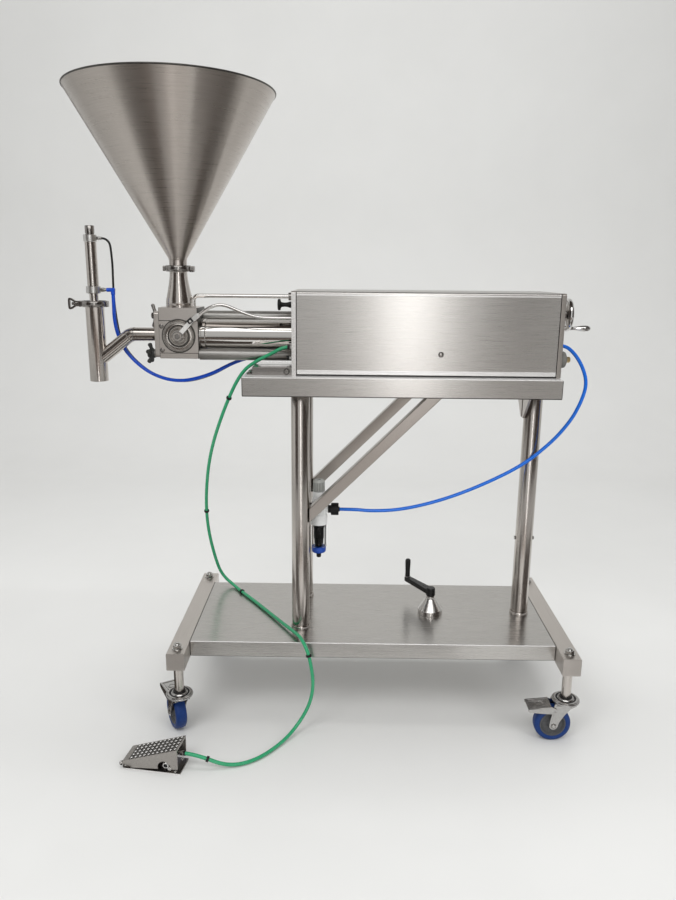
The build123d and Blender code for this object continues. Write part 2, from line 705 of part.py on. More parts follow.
# Outlet plate, outlet pipe and nozzle tube, one weldment
slope = math.radians(pipe_slope)
branch_length = (pipe_bend_x - nozzle_x) / math.cos(slope)
branch_z = axis_z - branch_length * math.sin(slope)
branch_mid = ((pipe_bend_x + nozzle_x) / 2, 0, (axis_z + branch_z) / 2)
nozzle_flange = nozzle_clamp_z - gasket / 2
with BuildPart() as nozzle_body:
    block(outlet_face, block_left, block_front + 4, -block_front - 4, block_bottom + 2,
          axis_z + tie_z + tie_r)
    fillet(nozzle_body.edges().filter_by(Axis.X), 8.0)
    rod_x(pipe_bend_x, outlet_face, 0, axis_z, pipe_r)
    rod_x(pipe_bend_x + 4, pipe_bend_x + 9, 0, axis_z, pipe_r + 1.2)
    with Locations((pipe_bend_x, 0, axis_z)):
        Sphere(pipe_r)
    with Locations(Location(branch_mid, (0, 90 - pipe_slope, 0))):
        Cylinder(pipe_r, branch_length)
    rod_z(nozzle_x, 0, nozzle_bottom, nozzle_flange, nozzle_r)
    rod_z(nozzle_x, 0, nozzle_flange - ferrule_t, nozzle_flange, ferrule_r)
    bore = pipe_r - pipe_wall
    rod_x(pipe_bend_x, block_left + 1, 0, axis_z, bore, Mode.SUBTRACT)
    with Locations((pipe_bend_x, 0, axis_z)):
        Sphere(bore, mode=Mode.SUBTRACT)
    with Locations(Location(branch_mid, (0, 90 - pipe_slope, 0))):
        Cylinder(bore, branch_length, mode=Mode.SUBTRACT)
    rod_z(nozzle_x, 0, nozzle_bottom - 1, nozzle_flange + 1, nozzle_r - nozzle_wall, Mode.SUBTRACT)
    rod_x(outlet_face - 1, block_left + 1, tie_y, axis_z + tie_z, tie_stud_r + run_gap, Mode.SUBTRACT)
    rod_x(outlet_face - 1, block_left + 1, -tie_y, axis_z - tie_z, tie_stud_r + run_gap, Mode.SUBTRACT)
keep(nozzle_body, "nozzle_body")

# Nozzle air cylinder with its ferrule
cap_z = nozzle_head_z + nozzle_head_h + nozzle_barrel_h
stub_z = cap_z + nozzle_cap_h
lid_z = nozzle_clamp_z + gasket / 2
with BuildPart() as nozzle_actuator:
    rod_z(nozzle_x, 0, lid_z, lid_z + ferrule_t, ferrule_r)
    rod_z(nozzle_x, 0, lid_z, nozzle_head_z, 12.0)
    rod_z(nozzle_x, 0, nozzle_head_z, nozzle_head_z + nozzle_head_h, nozzle_head_r)
    rod_z(nozzle_x, 0, nozzle_head_z, cap_z, nozzle_barrel_r)
    rod_z(nozzle_x, 0, cap_z, stub_z, nozzle_cap_r)
    rod_z(nozzle_x, 0, stub_z, stub_z + nozzle_stub_h, nozzle_stub_r)
    rod_z(nozzle_x, 0, lid_z - 1, cap_z, plunger_rod_r + run_gap, Mode.SUBTRACT)
    rod_z(nozzle_x, 0, nozzle_head_z + 6, cap_z, nozzle_barrel_r - 2, Mode.SUBTRACT)
keep(nozzle_actuator, "nozzle_actuator")

# Plunger that shuts the nozzle
with BuildPart() as plunger:
    rod_z(nozzle_x, 0, nozzle_bottom + 2, nozzle_bottom + 14, nozzle_r - nozzle_wall - run_gap)
    rod_z(nozzle_x, 0, nozzle_bottom + 14, nozzle_head_z + 20, plunger_rod_r)
    rod_z(nozzle_x, 0, nozzle_head_z + 8, nozzle_head_z + 20, nozzle_barrel_r - 2 - run_gap)
keep(plunger, "plunger")

# Reducer between the valve block and the hopper
hopper_flange = hopper_clamp_z - gasket / 2
with BuildPart() as reducer:
    turned(hopper_x, 0, [(reducer_r - shell, block_top), (reducer_r, block_top),
                        (reducer_r, block_top + skirt_h), (neck_r, flare_top),
                        (neck_r, hopper_flange - ferrule_t),
                        (ferrule_r, hopper_flange - ferrule_t), (ferrule_r, hopper_flange),
                        (neck_r - shell, hopper_flange), (neck_r - shell, flare_top),
                        (reducer_r - shell, block_top + skirt_h)])
keep(reducer, "reducer")

# Hopper, a spun cone with a neck, a ferrule and a flat rim
hopper_low = hopper_clamp_z + gasket / 2
with BuildPart() as hopper:
    turned(hopper_x, 0, [(neck_r - shell, hopper_low), (ferrule_r, hopper_low),
                        (ferrule_r, hopper_low + ferrule_t),
                        (neck_r, hopper_low + ferrule_t), (neck_r, cone_bottom), (rim_r - 5, rim_z - rim_t),
                        (rim_r, rim_z - rim_t), (rim_r, rim_z), (rim_r - 5 - shell, rim_z),
                        (neck_r - shell, cone_bottom + 2)])
keep(hopper, "hopper")

# Pipe clamps round the ferrules, with bolt lugs
with BuildPart() as clamps:
    for x, z in ((hopper_x, hopper_clamp_z), (nozzle_x, nozzle_clamp_z)):
        half = clamp_h / 2
        flange = ferrule_t + gasket / 2 + run_gap
        turned(x, 0, [(clamp_r, z - half), (clamp_r, z + half), (ferrule_r - 5, z + half),
                      (ferrule_r - 5, z + flange),
                      (ferrule_r + run_gap, z + flange), (ferrule_r + run_gap, z - flange),
                      (ferrule_r - 5, z - flange), (ferrule_r - 5, z - half)])
    side_x = hopper_x + clamp_r
    block(side_x - 2, side_x + 9, -10, 10, hopper_clamp_z - 7, hopper_clamp_z + 7)
    block(hopper_x - clamp_r - 5, hopper_x - clamp_r + 2, -7, 7, hopper_clamp_z - 7, hopper_clamp_z + 7)
    block(nozzle_x + clamp_r - 2, nozzle_x + clamp_r + 5, -7, 7, nozzle_clamp_z - 7, nozzle_clamp_z + 7)
    block(nozzle_x - clamp_r - 6, nozzle_x - clamp_r + 2, -10, 10, nozzle_clamp_z - 7, nozzle_clamp_z + 7)
    rod_x(wing_x - 3, nozzle_x - clamp_r, 0, nozzle_clamp_z, clamp_bolt_r)
keep(clamps, "clamps")

# Wing nut on the nozzle clamp's bolt, with an eye-shaped wing
with BuildPart() as clamp_wing_nut:
    rod_x(wing_x, nozzle_x - clamp_r - 6.6, 0, nozzle_clamp_z, clamp_bolt_r + 4)
    with BuildSketch(Plane(origin=(wing_x, -4, nozzle_clamp_z), x_dir=(1, 0, 0), z_dir=(0, -1, 0))):
        Ellipse(wing_a, wing_b)
    extrude(amount=-8)
    with BuildSketch(Plane(origin=(wing_x, -5, nozzle_clamp_z), x_dir=(1, 0, 0), z_dir=(0, -1, 0))):
        Ellipse(wing_a - 6, wing_b - 6)
    extrude(amount=-10, mode=Mode.SUBTRACT)
    rod_x(wing_x - 4, nozzle_x - clamp_r, 0, nozzle_clamp_z, clamp_bolt_r + run_gap, Mode.SUBTRACT)
keep(clamp_wing_nut, "clamp_wing_nut")

# Stay rod from the block to the front plate, with its boss
stay_x = valve_x + stay_in
stay_z = block_top + stay_rise
with BuildPart() as stay_rod:
    with BuildLine() as stay_path:
        FilletPolyline((stay_x, stay_y, block_top), (stay_x, stay_y, stay_z), (plate_face, stay_y, stay_z),
                       radius=stay_bend)
    with BuildSketch(Plane.XY.offset(block_top)):
        with Locations((stay_x, stay_y)):
            Circle(stay_r)
    sweep()
    rod_x(plate_face - stay_boss_w, plate_face, stay_y, stay_z, stay_boss_r)
keep(stay_rod, "stay_rod")

# Control knob on the front plate
with BuildPart() as control_knob:
    rod_x(plate_face - knob_reach, plate_face - knob_neck, knob_y, knob_z, 15.5)
    fillet(control_knob.edges().filter_by(GeomType.CIRCLE), 1.5)
    rod_x(plate_face - knob_neck, plate_face - 6, knob_y, knob_z, 9.0)
    rod_x(plate_face - 6, plate_inner - 2, knob_y, knob_z, 5.0)
keep(control_knob, "control_knob")

# Stroke stop on the screw
with BuildPart() as stroke_stop:
    block(stop_x, stop_x + stop_t, -15, 15, axis_z - 15, screw_z + 20)
    rod_x(stop_x - 1, stop_x + stop_t + 1, 0, screw_z, screw_r + run_gap, Mode.SUBTRACT)
keep(stroke_stop, "stroke_stop")

# Handwheel with the stroke screw
rim_x = wheel_hub_x + 8
handle_z = screw_z - handwheel_r + 9
with BuildPart() as handwheel:
    rod_x(wheel_hub_x, rim_x + handwheel_t, 0, screw_z, handwheel_r)
    rod_x(wheel_hub_x - 1, rim_x + 2, 0, screw_z, handwheel_r - 6, Mode.SUBTRACT)
    rod_x(wheel_hub_x - 1, rim_x, 0, screw_z, handwheel_r + 1, Mode.SUBTRACT)
    fillet(handwheel.edges().filter_by(GeomType.CIRCLE).group_by(Axis.X)[-1], 5.0)
    rod_x(wheel_hub_x, rim_x + handwheel_t + 3, 0, screw_z, handwheel_hub_r)
    rod_x(screw_start, wheel_hub_x, 0, screw_z, screw_r)
    rod_x(rim_x + handwheel_t - 4, handle_tip - 12, 0, handle_z, 3.5)
keep(handwheel, "handwheel")

handle_x = rim_x + handwheel_t + 1
with BuildPart() as handwheel_handle:
    with BuildSketch(Plane(origin=(0, 0, handle_z), x_dir=(1, 0, 0), z_dir=(0, -1, 0))):
        with BuildLine():
            Polyline((handle_x, 0), (handle_x, handle_r - 3), (handle_tip - 14, handle_r),
                     (handle_tip, handle_r - 4), (handle_tip, 0), close=True)
        make_face()
    revolve(axis=Axis((0, 0, handle_z), (1, 0, 0)))
    rod_x(handle_x - 1, handle_tip - 11.5, 0, handle_z, 3.5 + run_gap, Mode.SUBTRACT)
keep(handwheel_handle, "handwheel_handle")

# Filter regulator: body with bracket and union, knob, bowl
reg_low = reg_z - 50
reg_high = reg_z + 48
reg_half = reg_body / 2
bracket_y = -left_y + column_r
union_end = reg_x + 60.0
with BuildPart() as regulator_body:
    block(reg_x - reg_half, reg_x + reg_half, reg_y - reg_half, reg_y + reg_half, reg_z - 25, reg_z + 25)
    rod_z(reg_x, reg_y, reg_z + 20, reg_high, reg_half - 2)
    rod_z(reg_x, reg_y, reg_high - 1, reg_high + 12, 6.0)
    rod_z(reg_x, reg_y, reg_low, reg_z - 20, bowl_r + 1.5)
    rod_x(reg_x + reg_half - 2, reg_x + reg_half + 8, reg_y, reg_z - 6, 11.0)
    rod_x(reg_x + reg_half + 8, union_end, reg_y, reg_z - 6, 17.0)
    block(left_x - 12, reg_x + 8, bracket_y, reg_y - reg_half, reg_z - 20, reg_z + 20)
    inlet_x = reg_x - reg_half
    rod_x(inlet_x - 1, inlet_x + inlet_depth, reg_y, reg_z - 6, inlet_r, Mode.SUBTRACT)
keep(regulator_body, "regulator_body")

with BuildPart() as regulator_knob:
    rod_z(reg_x, reg_y, reg_high + 1, reg_high + 1 + reg_knob_h, reg_knob_r)
    fillet(regulator_knob.edges().group_by(Axis.Z)[-1], 3.0)
    rod_z(reg_x, reg_y, reg_high, reg_high + 13, 6.0 + run_gap, Mode.SUBTRACT)
keep(regulator_knob, "regulator_knob")

with BuildPart() as regulator_bowl:
    rod_z(reg_x, reg_y, reg_low - bowl_h, reg_low, bowl_r)
    rod_z(reg_x, reg_y, reg_low - bowl_h - 18, reg_low - bowl_h, bowl_r - 2)
    rod_z(reg_x, reg_y, reg_low - bowl_h - 35, reg_low - bowl_h - 18, 7.0)
    rod_z(reg_x, reg_y, reg_low - bowl_h + 3, reg_low + 1, bowl_r - 2, Mode.SUBTRACT)
keep(regulator_bowl, "regulator_bowl")

# Foot pedal in a local frame: hinge end at the origin, length along +X, width along +Y
pedal_place = Location((pedal_x, pedal_y, 0), (0, 0, pedal_turn))
tilt = math.tan(math.radians(pedal_slope))
hinge_x = 8.0
valve_at = pedal_length * 0.73
tread_end = pedal_length - 6
tread_low = hinge_h + 1
tread_high = tread_low + tilt * (tread_end - 2)
stem_drop = (valve_at - hinge_x) * math.tan(math.radians(pedal_press)) + valve_stem_r * tilt + 1
stem_top = tread_low + tilt * (valve_at - 2) - stem_drop
with BuildPart() as pedal_base:
    block(0, pedal_length, 0, pedal_width, 0, pedal_sheet)
    for side in (pedal_sheet + run_gap, pedal_width - 2 * pedal_sheet - run_gap):
        lug = [(1, 0), (hinge_x + 12, 0), (hinge_x + 8, hinge_h - 2), (1, hinge_h - 2)]
        slab_y(lug, side, side + pedal_sheet)
    rod_y(hinge_x, -1.5, pedal_width + 1.5, hinge_h - 6, pin_r)
    rod_z(valve_at, pedal_width / 2, pedal_sheet - 1, valve_h, 11.0)
    rod_z(valve_at, pedal_width / 2, valve_h, stem_top, valve_stem_r)
    rod_x(valve_at, pedal_length + 4, pedal_width / 2, fit_z, 7.0)
keep(pedal_base, "pedal_base", pedal_place)

# Treadle, a folded cover with side cheeks over the base
with BuildPart() as treadle:
    tread = [(2, tread_low), (tread_end, tread_high), (tread_end, tread_high + treadle_t),
             (0, tread_low + treadle_t)]
    slab_y(tread, 0, pedal_width)
    cheek = [(1, tread_low + 2), (1, hinge_h - 10), (hinge_x + 6, hinge_h - 11), (tread_end, cheek_low),
             (tread_end, tread_high + 2)]
    for side in (0, pedal_width - pedal_sheet):
        slab_y(cheek, side, side + pedal_sheet)
    rod_y(valve_at, -1, pedal_width + 1, cheek_low + 2, cheek_cut, Mode.SUBTRACT)
    rod_y(hinge_x, -1, pedal_width + 1, hinge_h - 6, pin_r + run_gap, Mode.SUBTRACT)
keep(treadle, "treadle", pedal_place)


# Hoses: straight runs joined by tangent arcs
def hose(points, radius):
    corners = []
    for i in range(1, len(points) - 1):
        a = Vector(points[i]) - Vector(points[i - 1])
        b = Vector(points[i + 1]) - Vector(points[i])
        turn = math.radians(a.get_angle(b))
        corners.append(round(0.45 * min(a.length, b.length) / math.tan(turn / 2), 1))
    with BuildPart() as tube:
        with BuildLine() as path:
            FilletPolyline(*points, radius=corners)
        with BuildSketch(Plane(origin=path.line @ 0, z_dir=path.line % 0)):
            Circle(radius)
        sweep()
    run = sum(edge.length for edge in path.edges())
    print("bend radii", corners, "length", round(run), "volume ratio",
          round(tube.part.volume / (math.pi * radius ** 2 * run), 4))
    return tube


port_end = rear_face + 5
union_z = reg_z - 6
supply_points = [(port_end, port_y, port_z), (port_end + 20, port_y, port_z),
                 (port_end + 40, port_y, port_z - 13), (port_end + 68, port_y, port_z - 48),
                 (port_end + 88, port_y, port_z - 86), (port_end + 93, port_y, port_z - 113),
                 (port_end + 89, port_y, port_z - 137), (port_end + 80, port_y, port_z - 168),
                 (port_end + 60, port_y, port_z - 210), (port_end + 14, port_y, port_z - 270),
                 (port_end - 65, port_y - 1, port_z - 340), (union_end + 406, reg_y + 10, union_z + 73),
                 (union_end + 292, reg_y + 6, union_z + 28), (union_end + 181, reg_y + 3, union_z),
                 (union_end + 93, reg_y + 1, union_z - 5), (union_end + 46, reg_y, union_z),
                 (union_end, reg_y, union_z)]
keep(hose(supply_points, hose_r), "supply_hose")

clip_x = -418.0
clip_y = 126.0
lay_z = base_top + hose_r + 1
upper_points = [(front_port, pedal_port_y, pedal_port_z), (front_port - 30, pedal_port_y, pedal_port_z),
                (front_port - 66, pedal_port_y + 2, pedal_port_z - 13),
                (front_port - 108, pedal_port_y + 11, pedal_port_z - 38),
                (front_port - 148, pedal_port_y + 27, pedal_port_z - 90),
                (front_port - 193, pedal_port_y + 56, pedal_port_z - 191),
                (front_port - 238, pedal_port_y + 110, pedal_port_z - 325),
                (clip_x - 90, clip_y - 32, lay_z + 339), (clip_x - 95, clip_y + 10, lay_z + 203),
                (clip_x - 82, clip_y + 39, lay_z + 78), (clip_x - 36, clip_y + 49.5, lay_z),
                (clip_x, clip_y, lay_z)]
keep(hose(upper_points, hose_r), "pedal_hose_upper")

edge_y = -base_depth / 2
pedal_fit = pedal_place * Location((pedal_length + 4, pedal_width / 2, fit_z))
pedal_out = pedal_place * Location((pedal_length + 40, pedal_width / 2, fit_z))
end_x, end_y, end_z = tuple(pedal_out.position)
lower_points = [(clip_x, clip_y, lay_z), (clip_x + 60, clip_y - 82.5, lay_z),
                (clip_x + 134, clip_y - 194, lay_z + 1),
                (clip_x + 196, edge_y + 40, lay_z + 5), (clip_x + 228, edge_y - 18, lay_z + 3),
                (clip_x + 246, edge_y - 30, lay_z - 54), (clip_x + 254, edge_y - 32, lay_z - 117),
                (clip_x + 244, edge_y - 30, lay_z - 179), (clip_x + 214, edge_y - 34, lay_z - 237),
                (end_x + 214, end_y + 111, hose_r + 2), (end_x + 148, end_y + 29, hose_r + 1.5),
                (end_x + 76, end_y + 1, hose_r + 2), (end_x, end_y, end_z), tuple(pedal_fit.position)]
keep(hose(lower_points, hose_r), "pedal_hose_lower")

low_end = low_z - 14
blue_points = [(elbow_x, 0, low_end), (elbow_x, 0, low_end - 26), (elbow_x - 5, 12, low_end - 66),
               (elbow_x - 1, 24, low_end - 114), (elbow_x + 19, 30, low_end - 165),
               (elbow_x + 83, 24, low_end - 222), (nozzle_port - 325, blue_port_y + 17, nozzle_port_z - 83),
               (nozzle_port - 234, blue_port_y + 10, nozzle_port_z - 61),
               (nozzle_port - 160, blue_port_y + 3, nozzle_port_z - 21),
               (nozzle_port - 103, blue_port_y, nozzle_port_z - 4),
               (nozzle_port - 54, blue_port_y, nozzle_port_z), (nozzle_port, blue_port_y, nozzle_port_z)]
keep(hose(blue_points, nozzle_hose_r), "nozzle_hose_blue")

black_points = [(return_x, 0, high_z), (return_x + 10.8, 0, high_z), (return_x + 20.2, 0, high_z - 5.4),
                (return_x + 25.6, 0.5, high_z - 14.8), (return_x + 26, 1.5, high_z - 34),
                (return_x + 24, 4, high_z - 72), (return_x + 21, 9, high_z - 120),
                (elbow_x - 3.5, 17, low_end - 13), (elbow_x - 3.5, 27, low_end - 64),
                (elbow_x, 40, low_end - 118), (elbow_x + 24, 45, low_end - 172),
                (elbow_x + 87, 38, low_end - 225),
                (nozzle_port - 324, black_port_y + 16, nozzle_port_z - 87),
                (nozzle_port - 236, black_port_y + 10, nozzle_port_z - 67),
                (nozzle_port - 160, black_port_y + 4, nozzle_port_z - 24),
                (nozzle_port - 103, black_port_y, nozzle_port_z - 4),
                (nozzle_port - 54, black_port_y, nozzle_port_z), (nozzle_port, black_port_y, nozzle_port_z)]
keep(hose(black_points, return_hose_r), "nozzle_hose_black")
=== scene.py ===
import math

import bmesh
import bpy
from mathutils import Matrix, Vector


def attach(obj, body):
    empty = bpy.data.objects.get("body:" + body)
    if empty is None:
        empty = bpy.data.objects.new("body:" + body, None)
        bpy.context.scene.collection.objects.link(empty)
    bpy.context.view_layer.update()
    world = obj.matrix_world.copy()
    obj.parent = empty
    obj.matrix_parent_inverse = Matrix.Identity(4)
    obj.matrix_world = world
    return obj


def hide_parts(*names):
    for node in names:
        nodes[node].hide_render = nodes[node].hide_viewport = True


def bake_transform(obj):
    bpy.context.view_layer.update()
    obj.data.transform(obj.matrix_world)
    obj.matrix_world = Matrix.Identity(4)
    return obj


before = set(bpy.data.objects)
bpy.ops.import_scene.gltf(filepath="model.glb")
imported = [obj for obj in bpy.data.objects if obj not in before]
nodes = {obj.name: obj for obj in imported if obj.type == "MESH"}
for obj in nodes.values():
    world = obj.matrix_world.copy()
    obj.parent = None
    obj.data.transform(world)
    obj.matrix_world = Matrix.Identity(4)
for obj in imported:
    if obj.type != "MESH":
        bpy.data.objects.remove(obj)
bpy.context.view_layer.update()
scene = bpy.context.scene
scene.view_settings.view_transform = "Standard"

# Lengths are millimetres of the machine: X along it, Y away from the viewer, Z up from the floor.
CENTRE_X = -131.5
CENTRE_Y = -73.677
ALONG = Vector((1, 0, 0))
BACK = Vector((0, 1, 0))
FRONT = Vector((0, -1, 0))
UP = Vector((0, 0, 1))

# Places that several pieces share
FRONT_PLATE_X = -228
REAR_PLATE_X = 486
COLUMNS = ((-207, -110), (-207, 110), (455, 0))
CASTER_X = 540
CASTER_Y = 246
AXLE = (34, 0, 51)
HOPPER_AXIS = (-550, 0, 0)
HOPPER_CLAMP = (0, 0, 1281)
NOZZLE_AXIS = (-789, 0, 0)
NOZZLE_CLAMP = (0, 0, 1183)
VALVE_AXIS = (-545, 0, 1100)
CYLINDER_AXIS = (0, 0, 1100)
UPPER_ROD = (0, 38, 1150)
LOWER_ROD = (0, -38, 1050)
CRANK_AXIS = (183, 0, 0)
CRANK_REACH = 114
WHEEL_AXIS = (0, 0, 1165)
HANDLE_AXIS = (0, 0, 1128)
REGULATOR_X = -157
REGULATOR_Y = -60
REGULATOR_AXIS = (REGULATOR_X, REGULATOR_Y, 0)
REGULATOR_PORT = (0, REGULATOR_Y, 609)
HOSE_RADIUS = 5.0
THIN_HOSE_RADIUS = 3.0


def at(x, y, z):
    return Vector(((x - CENTRE_X) / 1000, (y - CENTRE_Y) / 1000, z / 1000))


# Camera in front of the machine and a little above its table
EYE = (-84.5, -2086.7, 1271.6)
EYE_RIGHT = Vector((0.99994, 0.01153, 0.00909))
EYE_AHEAD = Vector((-0.00909, 0.97231, -0.23351)).normalized()


def place_camera():
    lens = bpy.data.cameras.new("camera")
    lens.sensor_width = 36.0
    lens.lens = 29.4
    lens.clip_end = 200.0
    eye = bpy.data.objects.new("camera", lens)
    scene.collection.objects.link(eye)
    up = EYE_RIGHT.cross(EYE_AHEAD).normalized()
    right = EYE_AHEAD.cross(up).normalized()
    turn = Matrix((right, up, -EYE_AHEAD)).transposed().to_4x4()
    eye.matrix_world = Matrix.Translation(at(*EYE)) @ turn
    scene.camera = eye


place_camera()


# Finishes
def fill_in(inputs, values):
    for name, value in values.items():
        inputs[name].default_value = value


def new_finish(name):
    finish = bpy.data.materials.new(name)
    finish.use_nodes = True
    return finish, finish.node_tree, finish.node_tree.nodes["Principled BSDF"].inputs


def stretched_noise(tree, scale, detail=3.0):
    coords = tree.nodes.new("ShaderNodeTexCoord")
    mapping = tree.nodes.new("ShaderNodeMapping")
    noise = tree.nodes.new("ShaderNodeTexNoise")
    fill_in(mapping.inputs, {"Scale": scale})
    fill_in(noise.inputs, {"Scale": 1.0, "Detail": detail, "Roughness": 0.6})
    tree.links.new(coords.outputs["Object"], mapping.inputs["Vector"])
    tree.links.new(mapping.outputs["Vector"], noise.inputs["Vector"])
    return noise.outputs["Fac"]


def tinted(tree, inputs, value, low, high):
    ramp = tree.nodes.new("ShaderNodeValToRGB")
    for stop, place, colour in zip(ramp.color_ramp.elements, (0.3, 0.7), (low, high)):
        stop.position = place
        stop.color = (*colour, 1.0)
    tree.links.new(value, ramp.inputs["Fac"])
    tree.links.new(ramp.outputs["Color"], inputs["Base Color"])


def roughened(tree, inputs, value, low, high):
    span = tree.nodes.new("ShaderNodeMapRange")
    fill_in(span.inputs, {"From Min": 0.25, "From Max": 0.75, "To Min": low, "To Max": high})
    tree.links.new(value, span.inputs["Value"])
    tree.links.new(span.outputs["Result"], inputs["Roughness"])


def raised(tree, inputs, value, strength):
    bump = tree.nodes.new("ShaderNodeBump")
    fill_in(bump.inputs, {"Strength": strength, "Distance": 0.0003})
    tree.links.new(value, bump.inputs["Height"])
    tree.links.new(bump.outputs["Normal"], inputs["Normal"])


def grained(name, grain, detail, low, high, smooth, rough, bump):
    finish, tree, inputs = new_finish(name)
    grit = stretched_noise(tree, grain, detail)
    tinted(tree, inputs, grit, low, high)
    roughened(tree, inputs, grit, smooth, rough)
    raised(tree, inputs, grit, bump)
    return finish, tree, inputs


def metal(name, grain, dark, light, smooth, rough, stretch=0.0, axis="Z", turn=0.0, bump=0.03, solid=1.0):
    finish, tree, inputs = grained(name, grain, 3.0, dark, light, smooth, rough, bump)
    fill_in(inputs, {"Metallic": solid})
    if stretch:
        fill_in(inputs, {"Anisotropic": stretch, "Anisotropic Rotation": turn})
        tangent = tree.nodes.new("ShaderNodeTangent")
        tangent.direction_type = "RADIAL"
        tangent.axis = axis
        tree.links.new(tangent.outputs["Tangent"], inputs["Tangent"])
    return finish


def moulded(name, low, high, smooth, rough, shine=0.35):
    finish, _, inputs = grained(name, (260, 260, 260), 4.0, low, high, smooth, rough, 0.08)
    fill_in(inputs, {"Specular IOR Level": shine})
    return finish


def clear_bowl():
    finish, tree, inputs = new_finish("clear_bowl")
    fill_in(inputs, {"Base Color": (0.95, 0.955, 0.955, 1.0), "Transmission Weight": 1.0, "IOR": 1.1})
    roughened(tree, inputs, stretched_noise(tree, (60, 60, 60)), 0.01, 0.05)
    return finish


STEEL_DARK = (0.548, 0.508, 0.474)
STEEL_LIGHT = (0.628, 0.588, 0.554)
LONG_GRAIN = (8, 1100, 1100)
steel_along = metal("steel_along", LONG_GRAIN, (0.53, 0.511, 0.490), (0.61, 0.591, 0.570), 0.25, 0.31,
                    0.7, "X")
steel_upright = metal("steel_upright", (900, 900, 8), STEEL_DARK, STEEL_LIGHT, 0.18, 0.24)
steel_across = metal("steel_across", (1100, 8, 1100), STEEL_DARK, STEEL_LIGHT, 0.30, 0.36, 0.6, "Y")
steel_spun = metal("steel_spun", (10, 10, 900), (0.50, 0.456, 0.420), (0.575, 0.530, 0.492), 0.26, 0.32,
                   0.9, "Z", 0.25)
steel_satin = metal("steel_satin", (300, 300, 300), STEEL_DARK, STEEL_LIGHT, 0.24, 0.32)
steel_brace = metal("steel_brace", (420, 900, 420), (0.44, 0.405, 0.375), (0.52, 0.485, 0.455), 0.28, 0.34)
# Pale half-diffuse steel: a painted highlight on the casing hem and rib, the table top and the tray's top
# front edge
steel_painted_sheen = metal("steel_painted_sheen", LONG_GRAIN, (0.74, 0.73, 0.72), (0.80, 0.79, 0.78), 0.24, 0.30, solid=0.5)
steel_turned = metal("steel_turned", (90, 90, 700), STEEL_DARK, STEEL_LIGHT, 0.15, 0.21)
steel_spun_cone = metal("steel_spun_cone", (60, 60, 800), (0.62, 0.60, 0.58), (0.70, 0.68, 0.66), 0.14, 0.20)
# Dark cast steel for clamps, screws and nuts; also a painted shadow on the bracket and painted shade on the
# valve block's rounded edges and the lever's sides
steel_cast_and_shade = metal("steel_cast_and_shade", (260, 260, 260), (0.28, 0.265, 0.25), (0.37, 0.35, 0.335), 0.16, 0.24)
steel_block = metal("steel_block", (380, 380, 380), (0.64, 0.595, 0.555), (0.71, 0.665, 0.63), 0.30, 0.36)
steel_bright = metal("steel_bright", (160, 160, 160), (0.82, 0.80, 0.78), (0.90, 0.88, 0.86), 0.10, 0.15)
steel_polished = metal("steel_polished", (10, 300, 300), (0.62, 0.60, 0.575), (0.68, 0.66, 0.635), 0.04, 0.08,
                       bump=0.01)
steel_sleeve = metal("steel_sleeve", (10, 300, 300), (0.33, 0.322, 0.305), (0.39, 0.38, 0.362), 0.36, 0.42,
                     bump=0.01)
steel_ring = metal("steel_ring", (380, 380, 380), (0.46, 0.43, 0.40), (0.50, 0.47, 0.44), 0.22, 0.26,
                   bump=0.008)
# Pale steel for the front plate's front face: a painted highlight
steel_edge_highlight = metal("steel_edge_highlight", (420, 420, 420), (0.50, 0.48, 0.46), (0.88, 0.87, 0.86), 0.3, 0.4, solid=0.7)
# Pale steel: a painted highlight on the bracket strip, the valve lever's front face and the pedal base's
# front face
steel_painted_highlight = metal("steel_painted_highlight", (160, 160, 160), (0.76, 0.745, 0.73), (0.83, 0.815, 0.80), 0.26, 0.34,
                   solid=0.5)
alloy_pale = metal("alloy_pale", (260, 260, 260), (0.66, 0.65, 0.63), (0.74, 0.73, 0.71), 0.30, 0.38)
chrome = metal("chrome", (80, 80, 80), (0.62, 0.61, 0.60), (0.70, 0.69, 0.68), 0.04, 0.08, bump=0.01)
zinc_plate = metal("zinc_plate", (160, 160, 160), (0.44, 0.43, 0.42), (0.54, 0.53, 0.52), 0.18, 0.24,
                   bump=0.006)
nickel_plate = metal("nickel_plate", (200, 200, 200), (0.54, 0.53, 0.51), (0.62, 0.61, 0.59), 0.13, 0.19,
                     bump=0.006)
brass = metal("brass", (160, 160, 160), (0.48, 0.36, 0.18), (0.58, 0.45, 0.24), 0.18, 0.28)
cast_pedal = metal("cast_pedal", (320, 320, 320), (0.34, 0.32, 0.30), (0.42, 0.40, 0.375), 0.26, 0.36)
# Near-black cast metal for dark washers and joints; also painted shade on low faces, in the valve's ring
# grooves, on the bracket's left faces, on the hopper rim and under the pedal studs
cast_dark_and_shade = metal("cast_dark_and_shade", (320, 320, 320), (0.10, 0.096, 0.09), (0.15, 0.145, 0.135), 0.40, 0.52)
grey_cap = moulded("grey_cap", (0.12, 0.118, 0.11), (0.17, 0.167, 0.155), 0.5, 0.65)
tyre_blue = moulded("tyre_blue", (0.002, 0.024, 0.125), (0.004, 0.037, 0.18), 0.38, 0.55)
core_grey = moulded("core_grey", (0.06, 0.062, 0.065), (0.10, 0.10, 0.105), 0.4, 0.6)
black_gloss = moulded("black_gloss", (0.006, 0.006, 0.006), (0.012, 0.012, 0.012), 0.22, 0.38)
black_satin = moulded("black_satin", (0.008, 0.008, 0.008), (0.016, 0.016, 0.016), 0.36, 0.52, 0.25)
dark_grey = moulded("dark_grey", (0.018, 0.018, 0.017), (0.034, 0.034, 0.033), 0.35, 0.5)
knob_grey = moulded("knob_grey", (0.36, 0.365, 0.345), (0.44, 0.445, 0.425), 0.35, 0.5)
